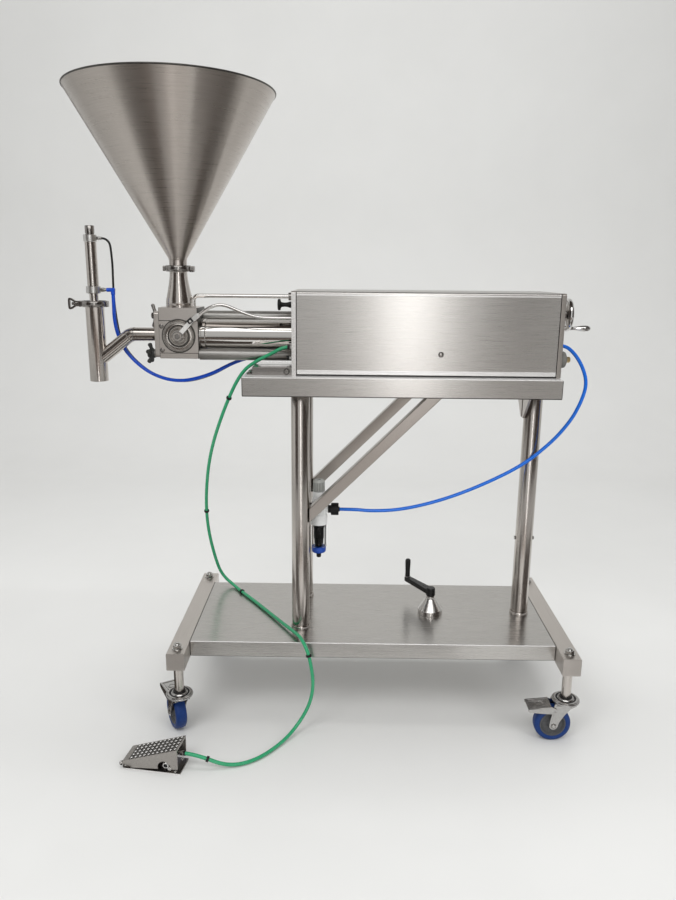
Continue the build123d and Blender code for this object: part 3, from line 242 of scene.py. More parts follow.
# Darker grey for the regulator knob's grooves: painted shade
knob_groove_shade = moulded("knob_groove_shade", (0.10, 0.102, 0.096), (0.15, 0.152, 0.145), 0.5, 0.65)
housing_white = moulded("housing_white", (0.74, 0.745, 0.74), (0.82, 0.825, 0.82), 0.25, 0.4)
ring_blue = moulded("ring_blue", (0.01, 0.05, 0.30), (0.02, 0.08, 0.42), 0.25, 0.4)
hose_green = moulded("hose_green", (0.018, 0.265, 0.115), (0.034, 0.355, 0.165), 0.16, 0.26, 0.6)
hose_blue = moulded("hose_blue", (0.001, 0.105, 0.54), (0.002, 0.15, 0.68), 0.16, 0.26, 0.5)
hose_navy = moulded("hose_navy", (0.001, 0.040, 0.36), (0.002, 0.066, 0.50), 0.16, 0.26, 0.5)
see_through = clear_bowl()
flag_cloth = moulded("flag_cloth", (0.052, 0.041, 0.035), (0.066, 0.053, 0.046), 0.8, 0.95)
flag_warm = moulded("flag_warm", (0.30, 0.245, 0.215), (0.33, 0.27, 0.24), 0.8, 0.95)


# Hoses: each follows its route as one smooth line
def route(name, points, radius):
    data = bpy.data.curves.new(name, "CURVE")
    data.dimensions = "3D"
    line = data.splines.new("NURBS")
    line.points.add(len(points) - 1)
    for spot, point in zip(line.points, points):
        spot.co = (*at(*point), 1.0)
    line.order_u = 3
    line.use_endpoint_u = True
    line.resolution_u = 12
    data.bevel_depth = radius / 1000
    data.bevel_resolution = 5
    data.use_fill_caps = True
    hose = bpy.data.objects.new(name, data)
    scene.collection.objects.link(hose)
    return hose


SUPPLY_ROUTE = [
    (491, -45, 1083), (510, -45, 1085.4), (535, -45, 1074.6), (563, -45, 1042), (582, -45, 1002),
    (586, -45, 972), (581, -45, 946), (571, -45, 915), (551, -45, 873), (505, -45, 813), (426, -46, 743),
    (309, -50, 682), (195, -54, 637), (84, -57, 609), (-4, -59, 604), (-51, -60, 609), (-97, -60, 609)]
PEDAL_ROUTE = [
    (-244, -70, 1075), (-258, -70, 1072.2), (-276, -70, 1063.4), (-300, -68, 1050), (-325.5, -60, 1038),
    (-376, -43, 1003), (-430, -14, 897), (-486.5, 40, 750), (-514, 94, 602), (-519.5, 136, 473),
    (-498.5, 165, 342), (-480, 178, 293), (-447, 170, 267.4), (-418, 126, 267), (-358, 43.5, 267),
    (-284, -68, 268), (-222, -164, 272), (-204, -197, 275.5), (-183, -230, 255.5), (-172, -234, 213),
    (-164, -236, 150), (-174, -234, 88), (-204, -238, 30), (-244.3, -293.6, 7), (-310.3, -375.6, 6.5),
    (-382.3, -403.6, 7), (-458.3, -404.6, 40), (-493.9, -399.3, 42)]
BLUE_ROUTE = [
    (-735, 0, 1207.5), (-735, 0, 1181.5), (-740, 12, 1141.5), (-736, 24, 1093.5), (-716, 30, 1042.5),
    (-652, 24, 985.5), (-567, 15, 962), (-476, 8, 984), (-402, 1, 1024), (-345, -2, 1041), (-296, -2, 1045),
    (-242, -2, 1045)]
BLACK_ROUTE = [
    (-757, 0, 1359.5), (-751.1, 0, 1359.5), (-740.9, 0, 1353.6), (-735, 0.3, 1343.4), (-733.6, 1.5, 1318),
    (-733, 4, 1287.5), (-736, 9, 1239.5), (-738.5, 17, 1194.5), (-738.5, 27, 1143.5), (-735, 40, 1089.5),
    (-711, 45, 1035.5), (-648, 38, 982.5), (-566, 30, 958), (-478, 24, 978), (-402, 18, 1021),
    (-345, 14, 1041), (-296, 14, 1045), (-242, 14, 1045)]


def deck_hose(name, points, radius, finish, node):
    hose = route(name, points, radius)
    hose.data.materials.append(finish)
    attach(hose, "deck")
    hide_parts(node)


deck_hose("supply_line", SUPPLY_ROUTE, HOSE_RADIUS, hose_blue, "supply_hose")
deck_hose("nozzle_line_blue", BLUE_ROUTE, HOSE_RADIUS, hose_navy, "nozzle_hose_blue")
deck_hose("nozzle_line_black", BLACK_ROUTE, THIN_HOSE_RADIUS, black_gloss,
          "nozzle_hose_black")


def line_points(hose):
    depth = hose.data.bevel_depth
    hose.data.bevel_depth = 0.0
    bpy.context.view_layer.update()
    mesh = bpy.data.meshes.new_from_object(hose.evaluated_get(bpy.context.evaluated_depsgraph_get()))
    spots = [vertex.co.copy() for vertex in mesh.vertices]
    bpy.data.meshes.remove(mesh)
    hose.data.bevel_depth = depth
    return spots


# Hand work: every piece starts as a primitive at its size and place
WELD_REACH = 0.00002


def hands_free():
    if bpy.context.mode != "OBJECT":
        bpy.ops.object.mode_set(mode="OBJECT")
    bpy.ops.object.select_all(action="DESELECT")


def hold(piece):
    hands_free()
    piece.select_set(True)
    bpy.context.view_layer.objects.active = piece


def set_down():
    bpy.ops.object.transform_apply(location=True, rotation=True, scale=True)
    return bpy.context.object


def take_all():
    bpy.ops.mesh.select_all(action="SELECT")


def open_up(piece):
    hold(piece)
    bpy.ops.object.mode_set(mode="EDIT")
    bpy.ops.mesh.select_mode(type="VERT")
    take_all()


def put_back():
    bpy.ops.object.mode_set(mode="OBJECT")


def pull(offset):
    bpy.ops.mesh.extrude_region_move(TRANSFORM_OT_translate={"value": offset})


def skin_outward():
    take_all()
    bpy.ops.mesh.normals_make_consistent(inside=False)
    put_back()


def bar(x0, x1, y0, y1, z0, z1, turn=(0.0, 0.0, 0.0)):
    hands_free()
    middle = at((x0 + x1) / 2, (y0 + y1) / 2, (z0 + z1) / 2)
    size = (x1 - x0, y1 - y0, z1 - z0)
    bpy.ops.mesh.primitive_cube_add(size=0.001, location=middle, rotation=turn, scale=size)
    return set_down()


def turned(base, axis, profile, sides, finish=None, smooth=40.0):
    hands_free()
    foot = at(*base)
    along, radius = profile[0]
    facing = axis.to_track_quat("Z", "Y").to_euler()
    bpy.ops.mesh.primitive_circle_add(vertices=sides, radius=radius / 1000,
                                      location=foot + axis * along / 1000, rotation=facing)
    piece = set_down()
    open_up(piece)
    for step, width in profile[1:]:
        pull(axis * (step - along) / 1000)
        if width != radius:
            bpy.ops.transform.resize(value=(width / radius,) * 3, center_override=foot + axis * step / 1000)
        along, radius = step, width
    take_all()
    if profile[0] == profile[-1]:
        bpy.ops.mesh.remove_doubles(threshold=WELD_REACH)
    else:
        bpy.ops.mesh.fill_holes(sides=0)
    skin_outward()
    return coated(piece, finish, smooth=smooth) if finish else piece


def shell(base, axis, profile, sides, finish=None, smooth=40.0):
    return turned(base, axis, profile + profile[:1], sides, finish, smooth)


def mirrored(half):
    return half + [(-step, width) for step, width in reversed(half)]


def plate(points, thickness):
    hands_free()
    bpy.ops.mesh.primitive_plane_add(size=0.001, location=at(*points[0]))
    piece = set_down()
    open_up(piece)
    bpy.ops.mesh.merge(type="CENTER")
    for here, there in zip(points, points[1:] + points[:1]):
        pull((Vector(there) - Vector(here)) / 1000)
    take_all()
    bpy.ops.mesh.remove_doubles(threshold=WELD_REACH)
    take_all()
    bpy.ops.mesh.edge_face_add()
    pull(Vector(thickness) / 1000)
    skin_outward()
    return piece


def picking(piece, kind):
    hold(piece)
    bpy.ops.object.mode_set(mode="EDIT")
    bpy.ops.mesh.select_mode(type=kind)
    bpy.ops.mesh.select_all(action="DESELECT")
    return bmesh.from_edit_mesh(piece.data)


def pick_faces(piece, test):
    for face in picking(piece, "FACE").faces:
        face.select_set(bool(test(face.normal, face.calc_center_median())))
    bmesh.update_edit_mesh(piece.data)


def pick_edges(piece, test):
    for edge in picking(piece, "EDGE").edges:
        start, end = (corner.co for corner in edge.verts)
        edge.select_set(bool(test((end - start).normalized(), (start + end) / 2)))
    bmesh.update_edit_mesh(piece.data)


def rounded(piece, axis, radius, steps, above=-1.0):
    pick_edges(piece, lambda way, mid: abs(way.dot(axis)) > 0.9 and mid.z > above)
    bpy.ops.mesh.bevel(offset=radius / 1000, segments=steps, affect="EDGES")
    bpy.ops.mesh.select_mode(type="VERT")
    put_back()


def softened(piece, width, steps=2, smooth=40.0):
    hold(piece)
    if width:
        edge = piece.modifiers.new("soft_edge", "BEVEL")
        edge.width = width / 1000
        edge.segments = steps
        edge.limit_method = "ANGLE"
        edge.angle_limit = math.radians(30.0)
        bpy.ops.object.modifier_apply(modifier=edge.name)
    bpy.ops.object.shade_smooth_by_angle(angle=math.radians(smooth))
    if width:
        flat = piece.modifiers.new("flat_faces", "WEIGHTED_NORMAL")
        flat.keep_sharp = True
        bpy.ops.object.modifier_apply(modifier=flat.name)
    return piece


def coat(piece, finish):
    piece.data.materials.clear()
    piece.data.materials.append(finish)
    return piece


def coated(piece, finish, width=0.0, steps=2, smooth=40.0):
    return coat(softened(piece, width, steps, smooth), finish)


def face_coat(piece, finish, test):
    piece.data.materials.append(finish)
    pick_faces(piece, test)
    piece.active_material_index = len(piece.data.materials) - 1
    bpy.ops.object.material_slot_assign()
    put_back()
    return piece


def joined(*pieces):
    hands_free()
    for piece in pieces:
        piece.select_set(True)
    bpy.context.view_layer.objects.active = pieces[0]
    bpy.ops.object.join()
    return pieces[0]


def fit(piece, name, body, slot, *replaced):
    hands_free()
    piece.name = name
    piece.data.name = name
    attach(piece, body)
    if replaced:
        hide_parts(*replaced)


def dressed(node, width, finish, steps=2):
    piece = bpy.data.objects.new(node + "_dressed", nodes[node].data.copy())
    scene.collection.objects.link(piece)
    open_up(piece)
    bpy.ops.mesh.remove_doubles(threshold=0.000005)
    bpy.ops.mesh.dissolve_limited(angle_limit=math.radians(0.5))
    put_back()
    return softened(coat(piece, finish), width, steps)


def placed(piece, turn, x, y):
    copy = piece.copy()
    copy.data = piece.data.copy()
    scene.collection.objects.link(copy)
    spin = Matrix.Rotation(math.radians(turn), 4, "Z")
    copy.matrix_world = Matrix.Translation(at(x, y, 0)) @ spin @ Matrix.Translation(-at(0, 0, 0))
    hold(copy)
    return set_down()


def dropped(*pieces):
    for piece in pieces:
        bpy.data.objects.remove(piece, do_unlink=True)


def ring(base, axis, low, high, inner, outer, finish, sides, chamfer, smooth=40.0):
    return shell(base, axis, [
        (low, inner), (low, outer - chamfer), (low + chamfer, outer), (high - chamfer, outer),
        (high, outer - chamfer), (high, inner)], sides, finish, smooth)


def rod(base, axis, low, high, radius, finish, sides, chamfer=0.6, smooth=40.0):
    return turned(base, axis, [
        (low, radius - chamfer), (low + chamfer, radius), (high - chamfer, radius), (high, radius - chamfer)],
        sides, finish, smooth)


def hex_nut(base, axis, low, high, radius, finish):
    return coated(rod(base, axis, low, high, radius, None, 6, 1.0), finish, 0.3, 1)


def domed(base, axis, low, radius, height, finish, sides=24):
    profile = [(low, radius)]
    for i in range(1, 6):
        lean = math.radians(15 * i)
        profile.append((low + height * math.sin(lean), radius * math.cos(lean)))
    return turned(base, axis, profile, sides, finish, 50)


# Stand: base tray, beams, columns and braces
# Faces that look down, and the bevels that turn front and sideways, get the near-black coat: painted shade
def painted_shade_faces(normal, mid):
    upright = abs(normal.z) < 0.2 and normal.y < -0.2 and abs(normal.x) > 0.2
    return upright or -0.95 < normal.z < -0.2


def stand():
    for node in ("stiffeners", "rear_plate"):
        fit(dressed(node, 0.8, steel_brace), node + "_sheet", "deck", "steel", node)
    beams = face_coat(dressed("beams", 1.8, steel_across), cast_dark_and_shade, painted_shade_faces)
    fit(beams, "beams_sheet", "base", "steel", "beams")
    table = face_coat(dressed("table", 2.4, steel_along), cast_dark_and_shade, painted_shade_faces)
    # The table's top faces get the pale coat: a painted highlight
    face_coat(table, steel_painted_sheen, lambda normal, mid: normal.z > 0.3 and mid.z > 1.0)
    fit(table, "table_sheet", "deck", "steel", "table")
    front = dressed("front_plate", 0.8, steel_across)
    # The front plate's front face gets the pale coat: a painted highlight
    face_coat(front, steel_edge_highlight, lambda normal, mid: normal.y < -0.9)
    fit(front, "front_plate_sheet", "deck", "steel", "front_plate")
    tray = face_coat(dressed("base_tray", 2.2, steel_along, 3), cast_dark_and_shade, painted_shade_faces)
    # The tray's front top bevel gets the pale coat: a painted highlight line
    face_coat(tray, steel_painted_sheen, lambda normal, mid: normal.z > 0.2 and normal.y < -0.2)
    joints = [coated(bar(x - 1, x + 1, -204.3, 204.3, 216.5, 261.2), cast_dark_and_shade, 0.2, 1)
              for x in (-514.2, 514.2)]
    fit(joined(tray, *joints), "base_tray_sheet", "base", "steel", "base_tray")
    sleeve = [(276, 22.4), (276, 24.9), (276.5, 25.4), (1002.4, 25.4), (1003, 25), (1003, 22.4)]
    inner = [(261, 25), (261, 27.4), (261.6, 28), (265, 27.6), (271.5, 27.4), (273, 26.2), (273, 22),
             (905, 22), (905, 19), (261, 19)]
    for profile, name, body, node in ((sleeve, "column_sleeves", "deck", "outer_columns"),
                                      (inner, "column_inners", "base", "inner_columns")):
        tubes = [shell((x, y, 0), UP, profile, 64, steel_upright) for x, y in COLUMNS]
        fit(joined(*tubes), name, body, "steel", node)


# Casing: folded sheet with rounded long edges, and a hem and a rib along each side
def casing_cover():
    cover = bar(-214.2, 472.2, -140, 140, 1010, 1226)
    rounded(cover, ALONG, 6.0, 6, 1.2)
    parts = [coated(cover, steel_along, 0.5)]
    for y in (-140, 140):
        hem = bar(-213.8, 471.8, y - 1, y + 1, 1010.4, 1021.6)
        rib = bar(-213.8, 471.8, y - 0.6, y + 0.6, 1215.5, 1218.5)
        # The hem and the rib get the pale coat: a painted highlight
        parts += [coated(hem, steel_painted_sheen, 0.7, 3), coated(rib, steel_painted_sheen, 0.5)]
    for x in (-216, 472):
        parts.append(coated(bar(x, x + 2, -138.6, 138.6, 1012, 1224.6), black_satin, 0.3, 1))
    fit(joined(*parts), "casing_cover", "deck", "steel", "casing")


# Angle bracket under the cylinder, with its feet, bolts and thin guide strip. The channel's dark coat is a
# painted shadow and is darker still on its left faces as painted shade; the strip's pale coat is a painted
# highlight
def bracket_channel():
    channel = dressed("support_bracket", 0.8, steel_cast_and_shade)
    face_coat(channel, cast_dark_and_shade, lambda normal, mid: normal.x < -0.5)
    strip = coated(bar(-319, -236, -112, -108, 1027, 1031), steel_painted_highlight, 0.5)
    posts = [coated(bar(x - 3, x + 3, -112, -108, 1026, 1029), steel_satin, 0.3) for x in (-316, -239)]
    fit(joined(channel, strip, *posts), "bracket_channel", "deck", "steel", "support_bracket")


def small_bolts():
    brace_bolts = ((480.4, ALONG), (429.6, -ALONG))
    bracket_bolts = [(-342, y, 0) for y in (-76, -118)]
    casing_button = (166.7, 0, 1065.7)
    plate_bolt = (-242, 0, 1016)
    parts = [hex_nut((x, 0, 507), way, 0, 4.0, 6.0, nickel_plate) for x, way in brace_bolts]
    parts += [hex_nut(spot, UP, 1010.4, 1014, 6.0, nickel_plate) for spot in bracket_bolts]
    parts += [
        turned(casing_button, FRONT, [
            (139.8, 6.5), (141.2, 6.5), (142.4, 5.6), (143, 4), (143, 2.6), (141.4, 2.4), (141.4, 0.3)],
            32, steel_cast_and_shade, 35),
        ring(plate_bolt, FRONT, 131.5, 133, 3, 8.6, cast_dark_and_shade, 24, 0.3),
        ring(casing_button, FRONT, 139.4, 140.8, 3, 7.6, cast_dark_and_shade, 32, 0.3)]
    parts += [ring(spot, UP, 1006.4, 1010.6, 3, 8.8, cast_dark_and_shade, 24, 0.4) for spot in bracket_bolts]
    parts.append(hex_nut(plate_bolt, FRONT, 133, 138, 6.4, steel_cast_and_shade))
    fit(joined(*parts), "small_bolts", "deck", "steel", "fasteners")


# Caster stems through the beams, with washer, nut and domed top
def caster_stems():
    parts = []
    for x in (-CASTER_X, CASTER_X):
        for y in (-CASTER_Y, CASTER_Y):
            foot = (x, y, 0)
            parts += [
                rod(foot, UP, 130.6, 211.5, 13, steel_upright, 40),
                ring(foot, UP, 129.0, 133.0, 9, 17.5, black_satin, 40, 0.8),
                rod(foot, UP, 110.0, 131, 6.4, zinc_plate, 24),
                ring(foot, UP, 260.6, 263.6, 5, 15.0, nickel_plate, 36, 0.5),
                hex_nut(foot, UP, 263.4, 273.2, 12.2, nickel_plate),
                domed(foot, UP, 272.8, 9.4, 6.6, nickel_plate)]
    fit(joined(*parts), "caster_stems", "base", "steel", "caster_fixings")


# Swivel casters: built once about the swivel axis, trailing along +X
def caster_leg(side):
    near = 19.0 if side > 0 else -22.0
    outline = [(-26, 118), (34, 118), (38, 104), (41, 84), (45.4, 58)]
    for degrees in range(15, -180, -30):
        turn = math.radians(degrees)
        outline.append((AXLE[0] + 12 * math.cos(turn), AXLE[2] + 12 * math.sin(turn)))
    outline += [(19, 62), (6, 84), (-10, 104), (-26, 112)]
    leg = plate([(x, near, z) for x, z in outline], (0, 3, 0))
    pick_faces(leg, lambda normal, mid: normal.y * side > 0.9)
    bpy.ops.mesh.inset(thickness=0.005, depth=0.0)
    pull((0, 0.0007 * side, 0))
    put_back()
    return coated(leg, zinc_plate, 0.6)


def caster_fork():
    race = shell((0, 0, 0), UP, [
        (118, 7), (118, 35), (119.2, 37.4), (121, 38), (123.4, 38), (124.6, 37), (125.2, 34.6), (126.8, 34.2),
        (127.6, 32.4), (127.6, 29), (126.4, 27.6), (126.4, 24), (127.4, 22.4), (129.2, 21.6), (130, 20.2),
        (130, 7)], 64, zinc_plate, 45)
    groove = ring((0, 0, 0), UP, 126.0, 127.1, 23.4, 28.2, black_satin, 48, 0.2)
    crown = bar(-26, 34, -22, 22, 113, 118.6)
    rounded(crown, UP, 5.0, 4)
    parts = [race, groove, coated(crown, zinc_plate, 0.6), caster_leg(1), caster_leg(-1),
             rod(AXLE, BACK, -22.5, 22.5, 5, zinc_plate, 24)]
    for way in (BACK, FRONT):
        parts.append(hex_nut(AXLE, way, 22.4, 25.4, 7.6, steel_cast_and_shade))
        parts.append(domed(AXLE, way, 25.0, 4.2, 1.6, nickel_plate, 20))
    return joined(*parts)


def caster_wheel():
    tyre = mirrored([(-13.6, 36), (-15.4, 38.5), (-16, 42), (-15.4, 46), (-13, 49.2), (-9, 50.7), (-4, 51)])
    core = mirrored([(-13.6, 36.4), (-15, 35.4), (-15, 33), (-12, 31.6), (-8.4, 29), (-8.4, 17), (-13, 14.4),
                     (-18.4, 12), (-18.4, 6)])
    return joined(shell(AXLE, BACK, tyre, 72, tyre_blue, 50), shell(AXLE, BACK, core, 72, core_grey, 28))


def caster_brake():
    tab = [(26, 98), (34, 89), (62, 90), (103, 93.4), (108, 97), (108, 105), (44, 112), (30, 105)]
    near, far = -25.6, 22.6
    parts = [coated(plate([(x, y, z) for x, z in tab], (0, 3, 0)), zinc_plate, 0.6) for y in (far, near)]
    lever = plate([(44, near, 112), (108, near, 105), (108, near, 101.5), (44, near, 108.5)], (0, 51.2, 0))
    pick_faces(lever, lambda normal, mid: normal.z > 0.9)
    bpy.ops.mesh.inset(thickness=0.006, depth=0.0)
    pull((-0.00015, 0, -0.0014))
    put_back()
    slope = math.atan2(7, 64)
    parts += [
        coated(lever, zinc_plate, 0.7),
        turned((74, 0, 108.7), Vector((math.sin(slope), 0, math.cos(slope))), [
            (-2.6, 12), (-0.4, 12), (0, 11.4), (0, 7.4), (-1.2, 6.8), (-1.2, 0.4)], 32, zinc_plate, 35)]
    for y in (-15, 15):
        rib = bar(56, 94, y - 1.6, y + 1.6, 106.6, 108.6, (0.0, slope, 0.0))
        parts.append(coated(rib, zinc_plate, 0.5))
    parts += [domed((34, 0, 95), way, 25.4, 3.6, 1.6, zinc_plate, 20) for way in (BACK, FRONT)]
    return joined(*parts)


def casters():
    patterns = ((caster_fork(), "swivel_fork_", "fork_", "zinc", "caster_fork_"),
                (caster_wheel(), "blue_wheel_", "wheel_", "tyre_blue", "caster_wheel_"),
                (caster_brake(), "foot_brake_", "brake_", "zinc", "brake_pedal_"))
    for corner, side, depth, turn in (("front_left", -1, -1, 120), ("front_right", 1, -1, 180),
                                      ("back_left", -1, 1, 335), ("back_right", 1, 1, 205)):
        for pattern, name, body, slot, node in patterns:
            piece = placed(pattern, turn, side * CASTER_X, depth * CASTER_Y)
            fit(piece, name + corner, body + corner, slot, node + corner)
    dropped(*(row[0] for row in patterns))


# Hopper, reducer and pipe clamps
def hopper_cone():
    rim_low = 1728.6
    cone = shell(HOPPER_AXIS, UP, [
        (1281.3, 31.6), (1281.8, 32), (1286.2, 32), (1286.7, 31.4), (1287.4, 26), (1288.6, 24.4), (1290, 24),
        (1303.4, 24), (1304.2, 24.7), (1305.4, 25.2), (1306.6, 25.5), (1307.4, 25.4), (rim_low, 272.2),
        (1728.8, 273.4), (1729.6, 274.4), (1730.8, 274.8), (1732, 274.4), (1732.8, 273.4), (1733, 272.2),
        (1732.6, 270.8), (1731.2, 270.2), (1728, 268.6), (1308, 23.2), (1306, 22), (1281.3, 22)],
        192, steel_spun, 32)
    # The rolled rim gets the near-black coat: a painted dark line of shade
    face_coat(cone, cast_dark_and_shade, lambda normal, mid: mid.z > at(0, 0, rim_low).z)
    fit(cone, "hopper_cone", "deck", "steel", "hopper")


def block_reducer():
    flare = shell(HOPPER_AXIS, UP, [
        (1177, 36.8), (1186.4, 36.8), (1187, 37), (1188.4, 37), (1189, 36.7), (1196, 36.4), (1206, 34.2),
        (1222, 30.8), (1238, 27.7), (1252, 25.4), (1262, 24.2), (1272, 24), (1274.4, 24.6), (1275.3, 31.4),
        (1275.8, 32), (1280.2, 32), (1280.7, 31.6), (1280.7, 22), (1262, 22), (1196, 34.6), (1177, 34.8)],
        96, steel_turned, 32)
    fit(flare, "block_reducer", "deck", "steel", "reducer")


def clamp_band(x, z):
    half = [(-8.5, 32.4), (-8.5, 33.4), (-7.6, 34.6), (-5.4, 35.6), (-3.6, 36)]
    return shell((x, 0, z), UP, mirrored(half), 64, steel_cast_and_shade)


def clamp_lug(x0, x1, z, half):
    lug = bar(x0, x1, -10, 10, z - half, z + half)
    rounded(lug, ALONG, 3.0, 3)
    return coated(lug, steel_cast_and_shade, 0.6)


def pipe_clamps():
    hopper_z, nozzle_z = HOPPER_CLAMP[2], NOZZLE_CLAMP[2]
    parts = [
        clamp_band(HOPPER_AXIS[0], hopper_z),
        clamp_lug(-516, -505.4, hopper_z, 7.0),
        clamp_lug(-591, -584, hopper_z, 7.0),
        rod(HOPPER_CLAMP, ALONG, -590.6, -584, 5.4, steel_cast_and_shade, 24),
        clamp_band(NOZZLE_AXIS[0], nozzle_z),
        clamp_lug(-757, -751, nozzle_z, 8.4),
        clamp_lug(-830.6, -821, nozzle_z, 8.4)]
    parts += [ring((-512, y, 0), UP, 1271.6, 1274.4, 1.6, 5.4, steel_cast_and_shade, 24, 0.5) for y in (-6, 6)]
    parts.append(hex_nut(HOPPER_CLAMP, ALONG, -507.2, -505.0, 5.8, steel_cast_and_shade))
    parts.append(rod(NOZZLE_CLAMP, ALONG, -852, -825, 4, steel_cast_and_shade, 20))
    fit(joined(*parts), "pipe_clamps", "deck", "steel", "clamps")


def eye_nut():
    outline = [(-860, -15), (-857, -16), (-852, -15), (-846, -11), (-840, -7), (-836.4, -4), (-836, 0),
               (-836.4, 4), (-840, 7), (-846, 11), (-852, 15), (-857, 16), (-860, 15), (-861.6, 12),
               (-862, 0), (-861.6, -12)]
    eye = plate([(x, -4, NOZZLE_CLAMP[2] + z) for x, z in outline], (0, 8, 0))
    pick_faces(eye, lambda normal, mid: abs(normal.y) > 0.9)
    bpy.ops.mesh.inset(thickness=0.0052, depth=0.0)
    bpy.ops.mesh.bridge_edge_loops()
    skin_outward()
    hub = ring(NOZZLE_CLAMP, ALONG, -842, -831.6, 4.3, 8, steel_cast_and_shade, 32, 1.2)
    fit(joined(coated(eye, steel_cast_and_shade, 1.4, 3), hub), "eye_nut", "clamp_wing_nut", "steel", "clamp_wing_nut")


# Nozzle: air cylinder over the drop tube, and the angled pipe from the block
def nozzle_cylinder():
    barrel = shell(NOZZLE_AXIS, UP, [
        (1183.3, 31.6), (1183.8, 32), (1188.2, 32), (1188.7, 31.4), (1189.4, 14), (1190.6, 12.4), (1192, 12),
        (1211, 12), (1211, 15.3), (1350.5, 15.3), (1350.5, 4.4), (1183.3, 4.4)], 64, steel_turned, 32)
    head = ring(NOZZLE_AXIS, UP, 1212, 1231, 4.4, 20, alloy_pale, 56, 1.0)
    cap = ring(NOZZLE_AXIS, UP, 1350, 1369, 4.4, 18, alloy_pale, 56, 1.0)
    stub = shell(NOZZLE_AXIS, UP, [
        (1368.6, 11.2), (1372, 11.2), (1372.6, 12.5), (1391.6, 12.5), (1393, 11.4), (1393, 8.6), (1391, 7.8),
        (1372, 7.8), (1372, 11.2)], 48, steel_cast_and_shade)
    fit(joined(barrel, head, cap, stub), "nozzle_cylinder", "deck", "steel", "nozzle_actuator")


def outlet_pipe():
    radius, lean, bend = 19.05, math.radians(38), 24.0
    start_x, bend_x, pipe_z = -612, -690, VALVE_AXIS[2]
    short = bend * math.tan(lean / 2)
    hands_free()
    bpy.ops.mesh.primitive_circle_add(vertices=48, radius=radius / 1000, location=at(start_x, 0, pipe_z),
                                      rotation=(0, math.pi / 2, 0))
    pipe = set_down()
    open_up(pipe)
    pull(((bend_x + short - start_x) / 1000, 0, 0))
    bpy.ops.mesh.spin(steps=7, angle=lean, center=at(bend_x + short, 0, pipe_z - bend), axis=(0, 1, 0))
    way = Vector((-math.cos(lean), 0, -math.sin(lean)))
    reach = (bend_x - NOZZLE_AXIS[0] - 6) / math.cos(lean) - short
    pull(way * reach / 1000)
    take_all()
    bpy.ops.mesh.fill_holes(sides=0)
    skin_outward()
    return coated(pipe, steel_turned, smooth=30), way


def drop_nozzle():
    tube = shell(NOZZLE_AXIS, UP, [
        (967, 23.4), (967, 24.9), (967.5, 25.4), (1175.6, 25.4), (1176.6, 26), (1177.3, 31.4), (1177.8, 32),
        (1182.2, 32), (1182.7, 31.6), (1182.7, 23.4)], 72, steel_turned, 32)
    pipe, way = outlet_pipe()
    welds = [ring(base, axis, spot - 1.3, spot + 1.3, 17.5, 19.75, steel_cast_and_shade, 48, 0.7, 60)
             for base, axis, spot in ((CYLINDER_AXIS, ALONG, -681.0), ((-696.6, 0, 1094.9), way, 0.6),
                                      (CYLINDER_AXIS, ALONG, -612.6))]
    flange = bar(-613, -599, -46, 46, 1040, 1166)
    rounded(flange, ALONG, 8.0, 5)
    coated(flange, steel_block, 0.8)
    fit(joined(tube, pipe, flange, *welds), "drop_nozzle", "deck", "steel", "nozzle_body")


# Valve block with its raised front, cover rings, screws and dark joints
def valve_housing():
    body = bar(-599, -491, -50, 50, 1038, 1177)
    for z in (1053, 1141):
        open_up(body)
        bpy.ops.mesh.bisect(plane_co=at(0, 0, z), plane_no=UP)
    pick_faces(body, lambda normal, mid: normal.y < -0.9 and 1.06 < mid.z < 1.14)
    pull((0, -0.002, 0))
    put_back()
    coated(body, steel_block, 1.2, 3)
    # The rounded edges get the darker cast coat: painted shade
    face_coat(body, steel_cast_and_shade, lambda normal, mid: max(map(abs, normal)) < 0.97)
    # The dark disc behind the cover rings shows in their grooves: painted shade
    recess = [(51, 46.6), (52.6, 46.6), (52.6, 10.6), (51, 10.6)]
    outer = [(51, 30.4), (51, 43.2), (54.6, 43.2), (56, 41.8), (56, 40.4), (55, 39.4), (55, 33.8),
             (55.8, 32), (55.4, 30.4)]
    inner = [(51, 10.6), (51, 27), (55.6, 27), (57.6, 25.2), (57.6, 22.4), (55.6, 20.8), (55.6, 19.4),
             (57, 18.2), (58, 16.8), (58, 10.6)]
    parts = [body, shell(VALVE_AXIS, FRONT, recess, 72, cast_dark_and_shade)]
    parts += [shell(VALVE_AXIS, FRONT, profile, 72, steel_ring, 28) for profile in (outer, inner)]
    for x, z in ((-592, 1126.6), (-591.6, 1061.1)):
        parts.append(turned((x, 0, z), FRONT, [
            (51.6, 6.6), (53.4, 6.6), (55, 5.6), (55.8, 4.2), (55.8, 3.2), (53.6, 3), (53.6, 0.3)],
            28, steel_cast_and_shade, 35))
    for x0, x1, y, z0, z1 in ((-493.4, -490.6, 50.6, 1038.6, 1176.4), (-600.4, -598.0, 46.4, 1041, 1165.4),
                              (-598, -493, 51.0, 1141.0, 1142.6)):
        parts.append(coated(bar(x0, x1, -y, y, z0, z1), cast_dark_and_shade, 0.2, 1))
    fit(joined(*parts), "valve_housing", "deck", "steel", "valve_block")


# Valve lever on the rotor spindle, and the clevis on the bent link rod
def valve_lever():
    # The lever's dark cast coat on its sides is painted shade, and the pale coat on its front face is a
    # painted highlight
    lever = dressed("valve_rotor", 0.7, steel_cast_and_shade, 3)
    hub = at(VALVE_AXIS[0], -66, VALVE_AXIS[2])
    face_coat(lever, steel_painted_highlight, lambda normal, mid: normal.y < -0.9 and (mid - hub).length > 0.016)
    washer = ring(VALVE_AXIS, FRONT, 68.2, 69.6, 3, 11.6, steel_satin, 32, 0.4)
    nut = hex_nut(VALVE_AXIS, FRONT, 68.4, 72, 8.0, steel_cast_and_shade)
    fit(joined(lever, washer, nut), "valve_lever", "valve_rotor", "steel", "valve_rotor")


